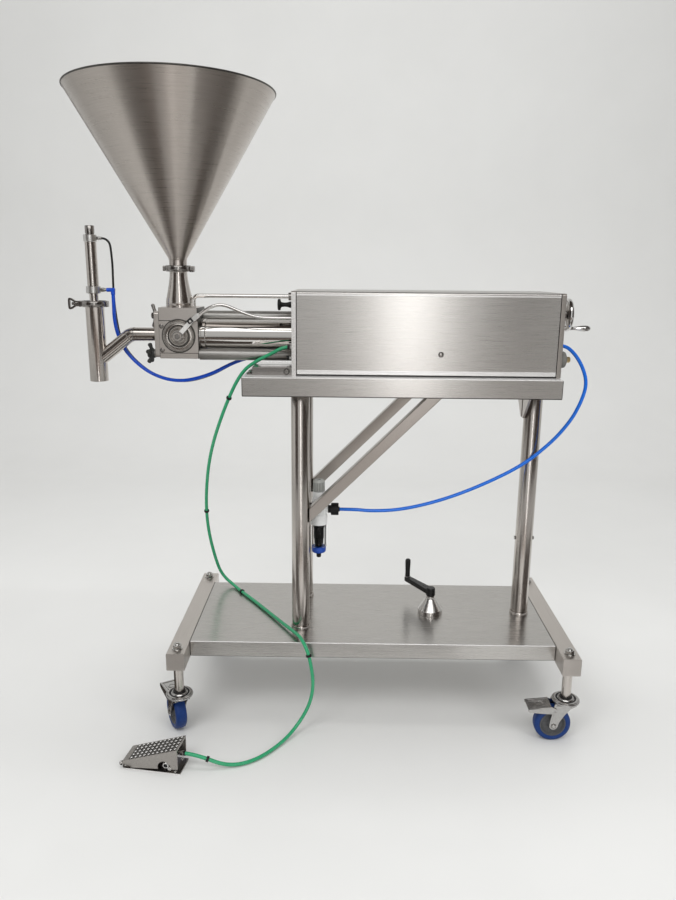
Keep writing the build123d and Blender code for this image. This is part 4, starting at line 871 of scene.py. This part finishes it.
def link_bent():
    rod_y = -74
    line = route("link_line", [(x, rod_y, z) for x, z in (
        (-499.4, 1147.4), (-478, 1163), (-461, 1175), (-444, 1183), (-428, 1187), (-409, 1185), (-391, 1178),
        (-370, 1169), (-343, 1159), (-318, 1154), (-290, 1153), (-262, 1153), (-228, 1153),
        (-64.2, 1153))], 4.5)
    hold(line)
    bpy.ops.object.convert(target="MESH")
    rod_piece = coated(bpy.context.object, steel_bright)
    lean = (0.0, math.radians(-40), 0.0)
    fork = bar(-502, -480, rod_y - 5.5, rod_y + 5.5, 1146.7, 1159.7, lean)
    rounded(fork, BACK, 3.0, 3)
    coated(fork, steel_bright, 0.6)
    grip = coated(bar(-514.5, -499.5, rod_y - 6.5, rod_y + 6.5, 1137.5, 1149.5, lean), black_satin, 1.0)
    pin = rod((-505.4, 0, 1142.4), FRONT, 66, 82, 3.6, steel_bright, 24)
    fit(joined(rod_piece, fork, grip, pin), "link_bent", "link_rod", "polished", "link_rod")


# Product cylinder between the block and the casing, and the rods that hold it
def cylinder_tube():
    tube = shell(CYLINDER_AXIS, ALONG, [
        (-491, 41), (-491, 45.4), (-490.4, 46), (-486.8, 46), (-486.2, 44.2), (-484.2, 44.2), (-483.6, 46),
        (-475.4, 46), (-474.4, 45.4), (-474, 44.4), (-473.4, 43.2), (-471.6, 43.2), (-471, 44), (-229, 44),
        (-228, 43.4), (-228, 41)], 96, steel_polished, 30)
    fit(tube, "cylinder_tube", "deck", "polished", "product_cylinder")


def clamping_rods():
    parts = []
    for base in (UPPER_ROD, LOWER_ROD):
        parts += [
            turned(base, ALONG, [(-490.4, 15.4), (-490, 16), (-217, 16), (-216, 15.4)], 48, steel_sleeve),
            rod(base, ALONG, -626, -489, 7, steel_sleeve, 28),
            ring(base, ALONG, -616.5, -613, 7, 11, steel_sleeve, 32, 0.5)]
    fit(joined(*parts), "clamping_rods", "deck", "steel", "tie_rods")


def five_lobe_knob():
    parts = [shell(LOWER_ROD, ALONG, [
        (-636, 6), (-635, 10), (-632, 12.5), (-620, 13), (-616, 12), (-614.4, 10.6), (-614.4, 7.4),
        (-630, 7.4), (-630, 4)], 40, dark_grey)]
    for i in range(5):
        turn = math.radians(90 + 72 * i)
        way = Vector((-0.36, math.cos(turn), math.sin(turn))).normalized()
        parts.append(turned((-620, *LOWER_ROD[1:]), way, [
            (6, 5.6), (13, 4.6), (18, 4.8), (23, 5.8), (26.8, 6.2), (29.4, 5), (30.8, 2.4)],
            24, dark_grey, 60))
    fit(joined(*parts), "five_lobe_knob", "star_knob", "dark_plastic", "star_knob")


def wing_screw():
    parts = [shell(UPPER_ROD, ALONG, [
        (-640, 6.6), (-639, 8.6), (-634, 10), (-620, 11.6), (-616, 12.8), (-614.6, 12.4), (-614.6, 7.4),
        (-632, 7.4), (-632, 4)], 40, steel_cast_and_shade)]
    for side in (1, -1):
        way = Vector((-0.28, 0, 0.96 * side)).normalized()
        parts.append(turned((-627, *UPPER_ROD[1:]), way, [
            (4, 7.4), (12, 5.4), (20, 4.8), (27, 5.4), (31, 5.2), (33.4, 3.8), (34.4, 1.6)],
            24, steel_cast_and_shade, 60))
    fit(joined(*parts), "wing_screw", "wing_knob", "steel", "wing_knob")


def stay_bar():
    bent = dressed("stay_rod", 0.0, steel_bright)
    boss = shell((0, 36, 1207), ALONG, [
        (-248.4, 6), (-248.4, 10.4), (-247.6, 11.2), (-241, 11.2), (-240.4, 10.4), (-239.4, 10.4),
        (-238.8, 11.2), (-228, 11.2), (-228, 6)], 36, steel_cast_and_shade)
    fit(joined(bent, boss), "stay_bar", "deck", "steel", "stay_rod")


def front_knob():
    knob = turned((0, -30, 1187), ALONG, [
        (-273, 12.6), (-272.2, 14.8), (-270.6, 15.5), (-267, 15.5), (-265.6, 14.4), (-264.4, 9), (-262, 6.6),
        (-254, 5.6), (-246, 6.4), (-240, 8.6), (-235, 9), (-234, 8.6), (-233.4, 5), (-214, 5)],
        48, black_satin)
    fit(knob, "front_knob", "control_knob", "black_plastic", "control_knob")


# Lift crank on its cone
def crank_cone():
    cone = shell(CRANK_AXIS, UP, [
        (261, 10), (261, 36.8), (261.7, 37.5), (274.4, 37.5), (275.4, 37), (276.2, 36), (308, 15),
        (309.6, 13), (312, 12.2), (316, 12), (316, 8.6), (267, 8.6), (267, 10)], 72, steel_spun_cone, 25)
    fit(cone, "crank_cone", "base", "steel", "crank_housing")


def crank_arm():
    swing = math.radians(123.6)
    way = Vector((math.cos(swing), math.sin(swing), 0))
    across = Vector((-way.y, way.x, 0))
    centre = Vector((CRANK_AXIS[0], 0, 322))
    outline = []
    for spot, radius, first in ((centre, 13.4, 90), (centre + CRANK_REACH * way, 9.6, 270)):
        for a in range(0, 181, 20):
            turn = math.radians(first + a)
            outline.append(tuple(spot + radius * (math.cos(turn) * way + math.sin(turn) * across)))
    end = (CRANK_AXIS[0] + CRANK_REACH * way.x, CRANK_REACH * way.y, 0)
    parts = [
        coated(plate(outline, (0, 0, 15)), black_gloss, 2.4, 3),
        turned(CRANK_AXIS, UP, [
            (318, 13), (319, 14), (340, 13.4), (342, 11.6), (342, 0.4)], 40, black_gloss),
        rod(CRANK_AXIS, UP, 267.4, 320, 7.8, chrome, 28),
        rod(end, UP, 330, 386, 3.4, chrome, 20),
        ring(end, UP, 336.2, 339.5, 3, 9.2, chrome, 28, 0.5)]
    fit(joined(*parts), "crank_arm", "crank", "black_paint", "crank")
    grip = shell(end, UP, [
        (339.7, 4), (339.7, 7), (341.4, 7.8), (352, 7.4), (368, 7.9), (384, 8.5), (391, 8.4), (394.6, 7.2),
        (396.4, 4.6), (396.6, 0.4), (387.6, 0.4), (387.6, 4)], 36, black_gloss, 45)
    fit(grip, "turning_grip", "crank_grip", "black_plastic", "crank_grip")


# Stroke handwheel: dished web, round rim and a turning handle
def stroke_wheel():
    rim = [(531.5 + 7.4 * math.cos(math.radians(a)), 38.5 + 7.4 * math.sin(math.radians(a)))
           for a in range(0, 360, 24)]
    web = [(516.4, 8), (516.4, 13.4), (517, 14), (524, 14), (526, 16), (527.4, 22), (528.6, 33), (533, 33),
           (531.6, 22), (531.6, 16), (533, 13), (536, 12), (536.6, 11), (536.6, 0.4)]
    boss = [(526, 6.5), (539, 6.5), (539.6, 5.8), (539.6, 0.4)]
    parts = [
        shell(WHEEL_AXIS, ALONG, rim, 72, chrome, 45),
        turned(WHEEL_AXIS, ALONG, web, 60, chrome, 45),
        turned(HANDLE_AXIS, ALONG, boss, 28, chrome, 45),
        rod(WHEEL_AXIS, ALONG, 256, 520, 7.9, chrome, 28, smooth=45),
        rod(HANDLE_AXIS, ALONG, 534, 586.6, 3.4, chrome, 20, smooth=45)]
    fit(joined(*parts), "stroke_wheel", "handwheel", "handwheel_metal", "handwheel")
    handle = shell(HANDLE_AXIS, ALONG, [
        (540.4, 3.9), (540.4, 4.8), (541.4, 5.6), (545, 5.4), (550, 4.8), (556, 5.2), (564, 6.6), (574, 8.3),
        (583, 9), (590, 8.4), (595, 6.6), (598, 3.8), (599, 0.6), (588, 0.6), (588, 3.9)], 40, chrome, 50)
    fit(handle, "wheel_handle", "handwheel_handle", "handwheel_metal", "handwheel_handle")


def rear_bush():
    bush = shell(WHEEL_AXIS, ALONG, [
        (485.6, 8.4), (485.6, 15), (487, 15), (488, 14), (512, 14), (514, 13.4), (515, 12), (515, 8.4)],
        40, nickel_plate)
    fit(bush, "rear_bush", "deck", "steel")


# Air regulator with its filter bowl on the front column
def every_other(across, up, sides):
    return int(math.floor(math.atan2(up, across) / math.tau * sides + 0.5)) % 2 == 0


def sink_ribs(depth):
    bpy.ops.mesh.inset(thickness=0.0003, use_individual=True)
    bpy.ops.mesh.extrude_region_shrink_fatten(TRANSFORM_OT_shrink_fatten={"value": -depth})


def union_nut():
    low, high, nut_z, sides = -120, -102, 609.6, 40
    nut = shell((0, REGULATOR_Y, nut_z), ALONG, [
        (-131, 9), (-131, 10.6), (-130, 11.4), (-122.6, 11.4), (-122, 16.4), (-120.6, 17.8), (-101.4, 17.8),
        (-100, 16.4), (-100, 7)], sides)

    def gripped(normal, mid):
        out = mid - at(mid.x * 1000 + CENTRE_X, REGULATOR_Y, nut_z)
        inside = abs(normal.x) < 0.3 and at(low, 0, 0).x < mid.x < at(high, 0, 0).x
        return inside and out.length > 0.015 and every_other(out.y, mid.z - REGULATOR_PORT[2] / 1000, sides)

    pick_faces(nut, gripped)
    sink_ribs(0.0009)
    put_back()
    return coated(nut, black_satin, smooth=30)


def regulator_housing():
    x, y = REGULATOR_X, REGULATOR_Y
    block = bar(x - 19.5, x + 19.5, y - 19.5, y + 19.5, 594, 640)
    rounded(block, UP, 4.0, 4)
    collar = [(565.2, 22), (565.2, 23.6), (566.2, 24.5), (571, 24.5), (572, 23.6), (579, 23.6), (580, 24.5),
              (590, 24.5), (594.6, 22.4), (594.6, 10), (570, 10), (570, 22)]
    bonnet = [(639, 18), (644, 18), (645, 16.6), (648, 16.6), (649, 18), (660, 18), (662, 17), (663, 15.4),
              (663, 6.6), (675, 6), (675, 0.5)]
    parts = [
        coated(block, housing_white, 0.8),
        shell(REGULATOR_AXIS, UP, collar, 48, housing_white),
        turned(REGULATOR_AXIS, UP, bonnet, 48, housing_white),
        rod(REGULATOR_PORT, ALONG, -140, -128, 10, housing_white, 28),
        union_nut(),
        rod(REGULATOR_PORT, ALONG, -101, -97, 7.4, black_satin, 28),
        coated(bar(-219, -173, -74, -70, 598, 632), zinc_plate, 0.6),
        domed((-186, 0, 622), FRONT, 73.6, 4.2, 2.4, nickel_plate)]
    fit(joined(*parts), "regulator_housing", "deck", "regulator_white", "regulator_body")


def pressure_knob():
    sides = 44
    knob = shell(REGULATOR_AXIS, UP, [
        (664, 6.6), (664, 16.4), (665, 17), (691, 16.6), (694.4, 15.6), (696.6, 13.4), (697.4, 10),
        (697.4, 6), (696.8, 5.4), (676, 5.4), (676, 6.6)], sides)
    coat(knob, knob_grey)
    knob.data.materials.append(knob_groove_shade)

    def gripped(normal, mid):
        out = mid - at(REGULATOR_X, REGULATOR_Y, mid.z * 1000)
        inside = abs(normal.z) < 0.2 and 0.666 < mid.z < 0.690
        return inside and out.length > 0.015 and every_other(out.x, out.y, sides)

    # The sunk ribs get the darker grey: painted shade in the grooves
    pick_faces(knob, gripped)
    sink_ribs(0.0012)
    knob.active_material_index = 1
    bpy.ops.object.material_slot_assign()
    put_back()
    fit(softened(knob, 0, smooth=30), "pressure_knob", "regulator_knob", "regulator_grey", "regulator_knob")


def filter_bowl():
    bowl = [(497.2, 21), (497.2, 22.4), (499, 23), (564.6, 23), (564.6, 21.2), (499.4, 21.2), (498.4, 21)]
    insert = [(497.6, 11), (505, 11), (506, 13.4), (520, 13.4), (521, 14.8), (552, 14.8), (554, 16),
              (560, 16), (564.4, 14)]
    band = [(479, 8), (479, 18.6), (481, 20.4), (483, 21), (495, 21), (497, 20), (497, 8)]
    drain = [(462, 5.4), (463, 6.6), (468, 7), (474, 7), (475, 8.4), (480, 8.4)]
    parts = [
        shell(REGULATOR_AXIS, UP, bowl, 48, see_through),
        turned(REGULATOR_AXIS, UP, insert, 36, black_satin),
        rod((REGULATOR_X + 18.4, REGULATOR_Y - 2, 0), UP, 499, 564, 1.8, dark_grey, 16),
        shell(REGULATOR_AXIS, UP, band, 48, ring_blue),
        turned(REGULATOR_AXIS, UP, drain, 28, black_satin)]
    fit(joined(*parts), "filter_bowl", "deck", "regulator_clear", "regulator_bowl")


# Foot pedal, worked about its hinge end and set on the floor
PEDAL_TURN, PEDAL_X, PEDAL_Y = -8.5, -659, -408
PEDAL_VALVE = (115.3, 33, 0)
PEDAL_PORT = (0, 33, 42)
PEDAL_SCREW = (117, 0, 19)
PEDAL_PIN = (2, 6, 12.5)


def pedal_body():
    base = bar(0, 158, 0, 66, 0, 3)
    rounded(base, UP, 3.0, 3)
    coated(base, cast_pedal, 0.5)
    # The base plate's front faces get the pale coat: a painted highlight
    parts = [face_coat(base, steel_painted_highlight, lambda normal, mid: normal.y < -0.5)]
    for y in (3.3, 59.7):
        lug = plate([(1, y, 2), (20, y, 2), (16, y, 14), (1, y, 14)], (0, 3, 0))
        parts.append(coated(lug, cast_pedal, 0.5))
    parts += [
        rod((8, 0, 10), BACK, -1.5, 67.5, 3, nickel_plate, 24),
        turned(PEDAL_VALVE, UP, [
            (2, 11), (20, 11), (20.6, 9.8), (23.4, 9.8), (24, 11), (38, 11), (40, 10), (42, 8), (42, 4)],
            40, black_satin),
        ring(PEDAL_VALVE, UP, 26, 31, 8, 11.5, chrome, 40, 0.6),
        rod(PEDAL_VALVE, UP, 41, 45, 4, chrome, 24),
        rod(PEDAL_PORT, ALONG, 118, 150, 6, nickel_plate, 28),
        hex_nut(PEDAL_PORT, ALONG, 148, 158, 7.0, nickel_plate),
        rod(PEDAL_PORT, ALONG, 157, 162, 6.2, black_satin, 28)]
    parts += [domed((142, y, 0), UP, 3, 4.2, 3.0, nickel_plate) for y in (8, 58)]
    parts += [
        hex_nut((127, 0, 9.4), FRONT, -22, -5, 6.2, nickel_plate),
        ring(PEDAL_SCREW, FRONT, -20, -5, 5.4, 9.2, chrome, 36, 1.6),
        rod(PEDAL_SCREW, FRONT, -22, -8, 5.6, black_satin, 28),
        rod(PEDAL_PIN, -ALONG, 0, 8, 3.4, nickel_plate, 24),
        domed(PEDAL_PIN, -ALONG, 6, 6.2, 6.6, steel_bright)]
    body = joined(*parts)
    fit(placed(body, PEDAL_TURN, PEDAL_X, PEDAL_Y), "pedal_body", "base", "pedal_metal", "pedal_base")
    dropped(body)


def pedal_tread():
    slope = math.atan2(50.19, 152)
    along = Vector((math.cos(slope), 0, math.sin(slope)))
    normal = Vector((-math.sin(slope), 0, math.cos(slope)))
    hinge = Vector((0, 0, 22))
    pitch = 12.8
    first = hinge + 24 * along
    studs = turned((first.x, 7.4, first.z), normal, [
        (-0.6, 5.2), (0.5, 4.9), (2.2, 3.6), (2.7, 2.8), (2.7, 0.2)], 4)
    hold(studs)
    for way, count in ((along, 11), (BACK, 5)):
        rows = studs.modifiers.new("rows", "ARRAY")
        rows.use_relative_offset = False
        rows.use_constant_offset = True
        rows.constant_offset_displace = way * pitch / 1000
        rows.count = count
        bpy.ops.object.modifier_apply(modifier=rows.name)
    coated(studs, zinc_plate, smooth=30)
    low, high = hinge + 17 * along, hinge + 154 * along
    corners = ((low, 3), (high, 3), (high, 63), (low, 63))
    # A near-black sheet under the studs: painted shade between them
    stud_shade_sheet = coated(plate([(spot.x, y, spot.z) for spot, y in corners], 0.25 * normal), cast_dark_and_shade)
    pattern = joined(studs, stud_shade_sheet)
    grid = placed(pattern, PEDAL_TURN, PEDAL_X, PEDAL_Y)
    dropped(pattern)
    cover = dressed("treadle", 0.7, cast_pedal)
    open_up(cover)
    bpy.ops.mesh.bisect(plane_co=at(PEDAL_X, PEDAL_Y, 4.2), plane_no=(-0.065, 0.0, 1.0), clear_inner=True,
                        use_fill=True)
    put_back()
    fit(joined(cover, grid), "pedal_tread", "treadle", "pedal_metal", "treadle")


# Push-in air fittings on the front plate, the rear plate and the nozzle cylinder
def push_fitting(y, z, length, radius):
    base = (FRONT_PLATE_X, y, z)
    middle = 0.6 * length
    return [hex_nut(base, -ALONG, 0, middle, radius, nickel_plate),
            rod(base, -ALONG, middle - 0.2, length, radius * 0.86, black_satin, 28)]


def air_ports():
    silencer = (REAR_PLATE_X, -114, 1053)
    low_port = (-770, 0, 1221.5)
    high_port = (-771, 0, 1359.5)
    parts = []
    for port in ((-70, 1075, 16, 8), (-76, 1046, 18, 7), (-2, 1045, 14, 6), (14, 1045, 14, 6)):
        parts += push_fitting(*port)
    parts += [
        ring((REAR_PLATE_X, -45, 1083), ALONG, 0, 5, 5, 8, nickel_plate, 32, 0.8),
        turned(silencer, ALONG, [
            (0, 22), (10, 22), (13, 20.6), (15, 18), (18, 11), (18, 0.5)], 40, grey_cap, 35),
        hex_nut(silencer, ALONG, 17, 28, 8, brass),
        rod((REAR_PLATE_X, -108, 1016), ALONG, 0, 8, 4, black_satin, 24),
        hex_nut(low_port, ALONG, 0, 12, 6.0, nickel_plate),
        rod(low_port, ALONG, 11, 18, 4.6, nickel_plate, 24),
        rod(low_port, ALONG, 17, 41, 5.6, hose_navy, 28, 1.6),
        rod((-735, 0, 0), UP, 1207.5, 1226.5, 6.0, hose_navy, 28, 1.6),
        hex_nut(high_port, ALONG, 0, 7, 5.0, nickel_plate),
        rod(high_port, ALONG, 6, 14, 4.4, nickel_plate, 24)]
    fit(joined(*parts), "air_ports", "deck", "fitting", "air_fittings")


# Green pedal hose with its black ties, running from the front plate down to the pedal
HOSE_TIES = ((-416.7, -30, 918.7), (-504.2, 100, 538.1), (-414, 118, 267), (-175, -231, 236),
             (-440, -404, 14))


def pedal_line():
    hose = route("pedal_line", PEDAL_ROUTE, HOSE_RADIUS)
    spots = line_points(hose)
    hose.data.materials.append(hose_green)
    hold(hose)
    bpy.ops.object.convert(target="MESH")
    bpy.ops.object.shade_smooth()
    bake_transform(hose)
    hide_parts("pedal_hose_upper", "pedal_hose_lower")
    ties = []
    for place in HOSE_TIES:
        near = min(range(1, len(spots) - 1), key=lambda i: (spots[i] - at(*place)).length)
        way = (spots[near + 1] - spots[near - 1]).normalized()
        centre = (spots[near] - at(0, 0, 0)) * 1000
        ties.append(ring(tuple(centre), way, -3.4, 3.4, 5.02, 7.8, black_satin, 24, 0.8))
    bundle = joined(*ties)
    bundle.name = "hose_ties"
    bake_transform(bundle)


for hidden in ("air_cylinder", "piston", "stroke_stop", "valve_actuator", "plunger"):
    coat(nodes[hidden], steel_satin)

for make in (stand, casing_cover, bracket_channel, small_bolts, caster_stems, casters, hopper_cone,
             block_reducer, pipe_clamps, eye_nut, nozzle_cylinder, drop_nozzle, valve_housing, valve_lever,
             link_bent, cylinder_tube, clamping_rods, five_lobe_knob, wing_screw, stay_bar, front_knob,
             crank_cone, crank_arm, stroke_wheel, rear_bush, regulator_housing, pressure_knob, filter_bowl,
             pedal_body, pedal_tread, air_ports, pedal_line):
    make()

# Floor, light and background
FLAG_LIFT = 2
WALL_REACH = 3600
WALL_LOW = 700
WALL_HIGH = 3600


def pale_stage():
    finish, tree, inputs = new_finish("floor_pale")
    tinted(tree, inputs, stretched_noise(tree, (2, 2, 2)), (0.71, 0.71, 0.70), (0.73, 0.73, 0.72))
    fill_in(inputs, {"Roughness": 0.7})
    hands_free()
    bpy.ops.mesh.primitive_circle_add(vertices=96, radius=40.0, fill_type="NGON", location=(0, 0, 0))
    floor = bpy.context.object
    floor.name = "floor"
    coat(floor, finish)
    hands_free()
    bpy.ops.mesh.primitive_plane_add(size=1.0, location=(0, 2.5, -0.5), rotation=(math.pi / 2, 0, 0))
    bpy.context.object.scale = (24.0, 1.0, 1.0)
    sweep = set_down()
    sweep.name = "backdrop"
    pick_edges(sweep, lambda way, mid: abs(way.x) > 0.9 and mid.z > -0.1)
    bend, steps, last = 1.8, 24, (0.0, 0.0)
    for i in range(1, steps + 1):
        turn = math.radians(90 * i / steps)
        here = (bend * math.sin(turn), bend * (1 - math.cos(turn)))
        pull((0, here[0] - last[0], here[1] - last[1]))
        last = here
    pull((0, 0, 6.0))
    bpy.ops.mesh.select_mode(type="VERT")
    put_back()
    coated(sweep, finish)


def soft_lamp(name, place, aim, width, height, power, in_steel=False):
    data = bpy.data.lights.new(name, "AREA")
    data.shape = "RECTANGLE"
    data.size = width
    data.size_y = height
    data.energy = power
    lamp = bpy.data.objects.new(name, data)
    scene.collection.objects.link(lamp)
    lamp.location = place
    lamp.rotation_euler = (Vector(aim) - Vector(place)).to_track_quat("-Z", "Y").to_euler()
    lamp.visible_glossy = in_steel


def around(turn, reach, z):
    lean = math.radians(turn)
    return (reach * math.sin(lean), -reach * math.cos(lean), z)


def flag(name, points, thickness, cloth=flag_cloth):
    sheet = plate(points, thickness)
    sheet.name = name
    coat(sheet, cloth)
    sheet.visible_camera = False
    sheet.visible_diffuse = False
    sheet.visible_shadow = False


def floor_flag(name, *corners):
    flag(name, [(x, y, FLAG_LIFT) for x, y in corners], (0, 0, 1))


def floor_fan(name, first, last, near, far, cloth=flag_cloth):
    corners = ((first, near), (first, far), (last, far), (last, near))
    flag(name, [around(turn, reach, FLAG_LIFT) for turn, reach in corners], (0, 0, 1), cloth)


def wall_flag(name, first, last):
    corners = ((first, WALL_LOW), (last, WALL_LOW), (last, WALL_HIGH), (first, WALL_HIGH))
    flag(name, [around(turn, WALL_REACH, z) for turn, z in corners], around((first + last) / 2, 10, 0))


def studio():
    pale_stage()
    soft_lamp("lamp_key", (-1.6, -2.6, 3.2), (0.0, 0.0, 0.9), 1.6, 1.6, 34)
    soft_lamp("lamp_fill", (2.6, -2.4, 2.0), (0.1, 0.0, 0.9), 1.2, 2.0, 20)
    soft_lamp("lamp_top", (0.0, 0.3, 3.6), (0.0, 0.0, 0.8), 2.4, 1.4, 36)
    soft_lamp("lamp_back", (0.0, 1.0, 4.6), (0.0, 4.3, 2.2), 5.0, 1.0, 52)
    soft_lamp("lamp_strip", (0.58, -4.4, 1.7), (0.2, 0.0, 1.1), 0.40, 3.4, 14, True)
    soft_lamp("lamp_edge", (0.0, -2.3, 3.4), (0.0, 0.0, 0.6), 3.6, 1.4, 30, True)
    floor_fan("flag_floor_front", -27, 24, 700, 1050)
    floor_fan("flag_floor_far", -27, 24, 2300, 5200, flag_warm)
    for side, first, last in (("left", -27, -62), ("right", 28, 90)):
        wall_flag("flag_wall_" + side, first, last)
        floor_fan("flag_floor_" + side, first, last, 1150, WALL_REACH)
    wall_flag("flag_wall_narrow", 15, 21)
    floor_flag("flag_floor_side", (-1500, -420), (-640, -420), (-640, 700), (-1500, 700))
    floor_flag("flag_floor_head", (-880, -1250), (-330, -1250), (-290, -660), (-740, -660))
    floor_flag("flag_floor_beyond", (-1700, -6000), (-560, -6000), (-350, -1900), (-990, -1900))
    flag("flag_back_left", [
        (-2200, 2060, 900), (-1960, 2060, 900), (-1960, 2060, 2700), (-2200, 2060, 2700)], (0, 10, 0))
    flag("flag_above", [
        (-2600, -1300, 3300), (2600, -1300, 3300), (2600, 900, 3300), (-2600, 900, 3300)], (0, 0, 20))
    world = bpy.data.worlds.new("studio")
    scene.world = world
    world.use_nodes = True
    background = world.node_tree.nodes["Background"]
    fill_in(background.inputs, {"Color": (0.82, 0.82, 0.81, 1.0), "Strength": 0.75})


studio()
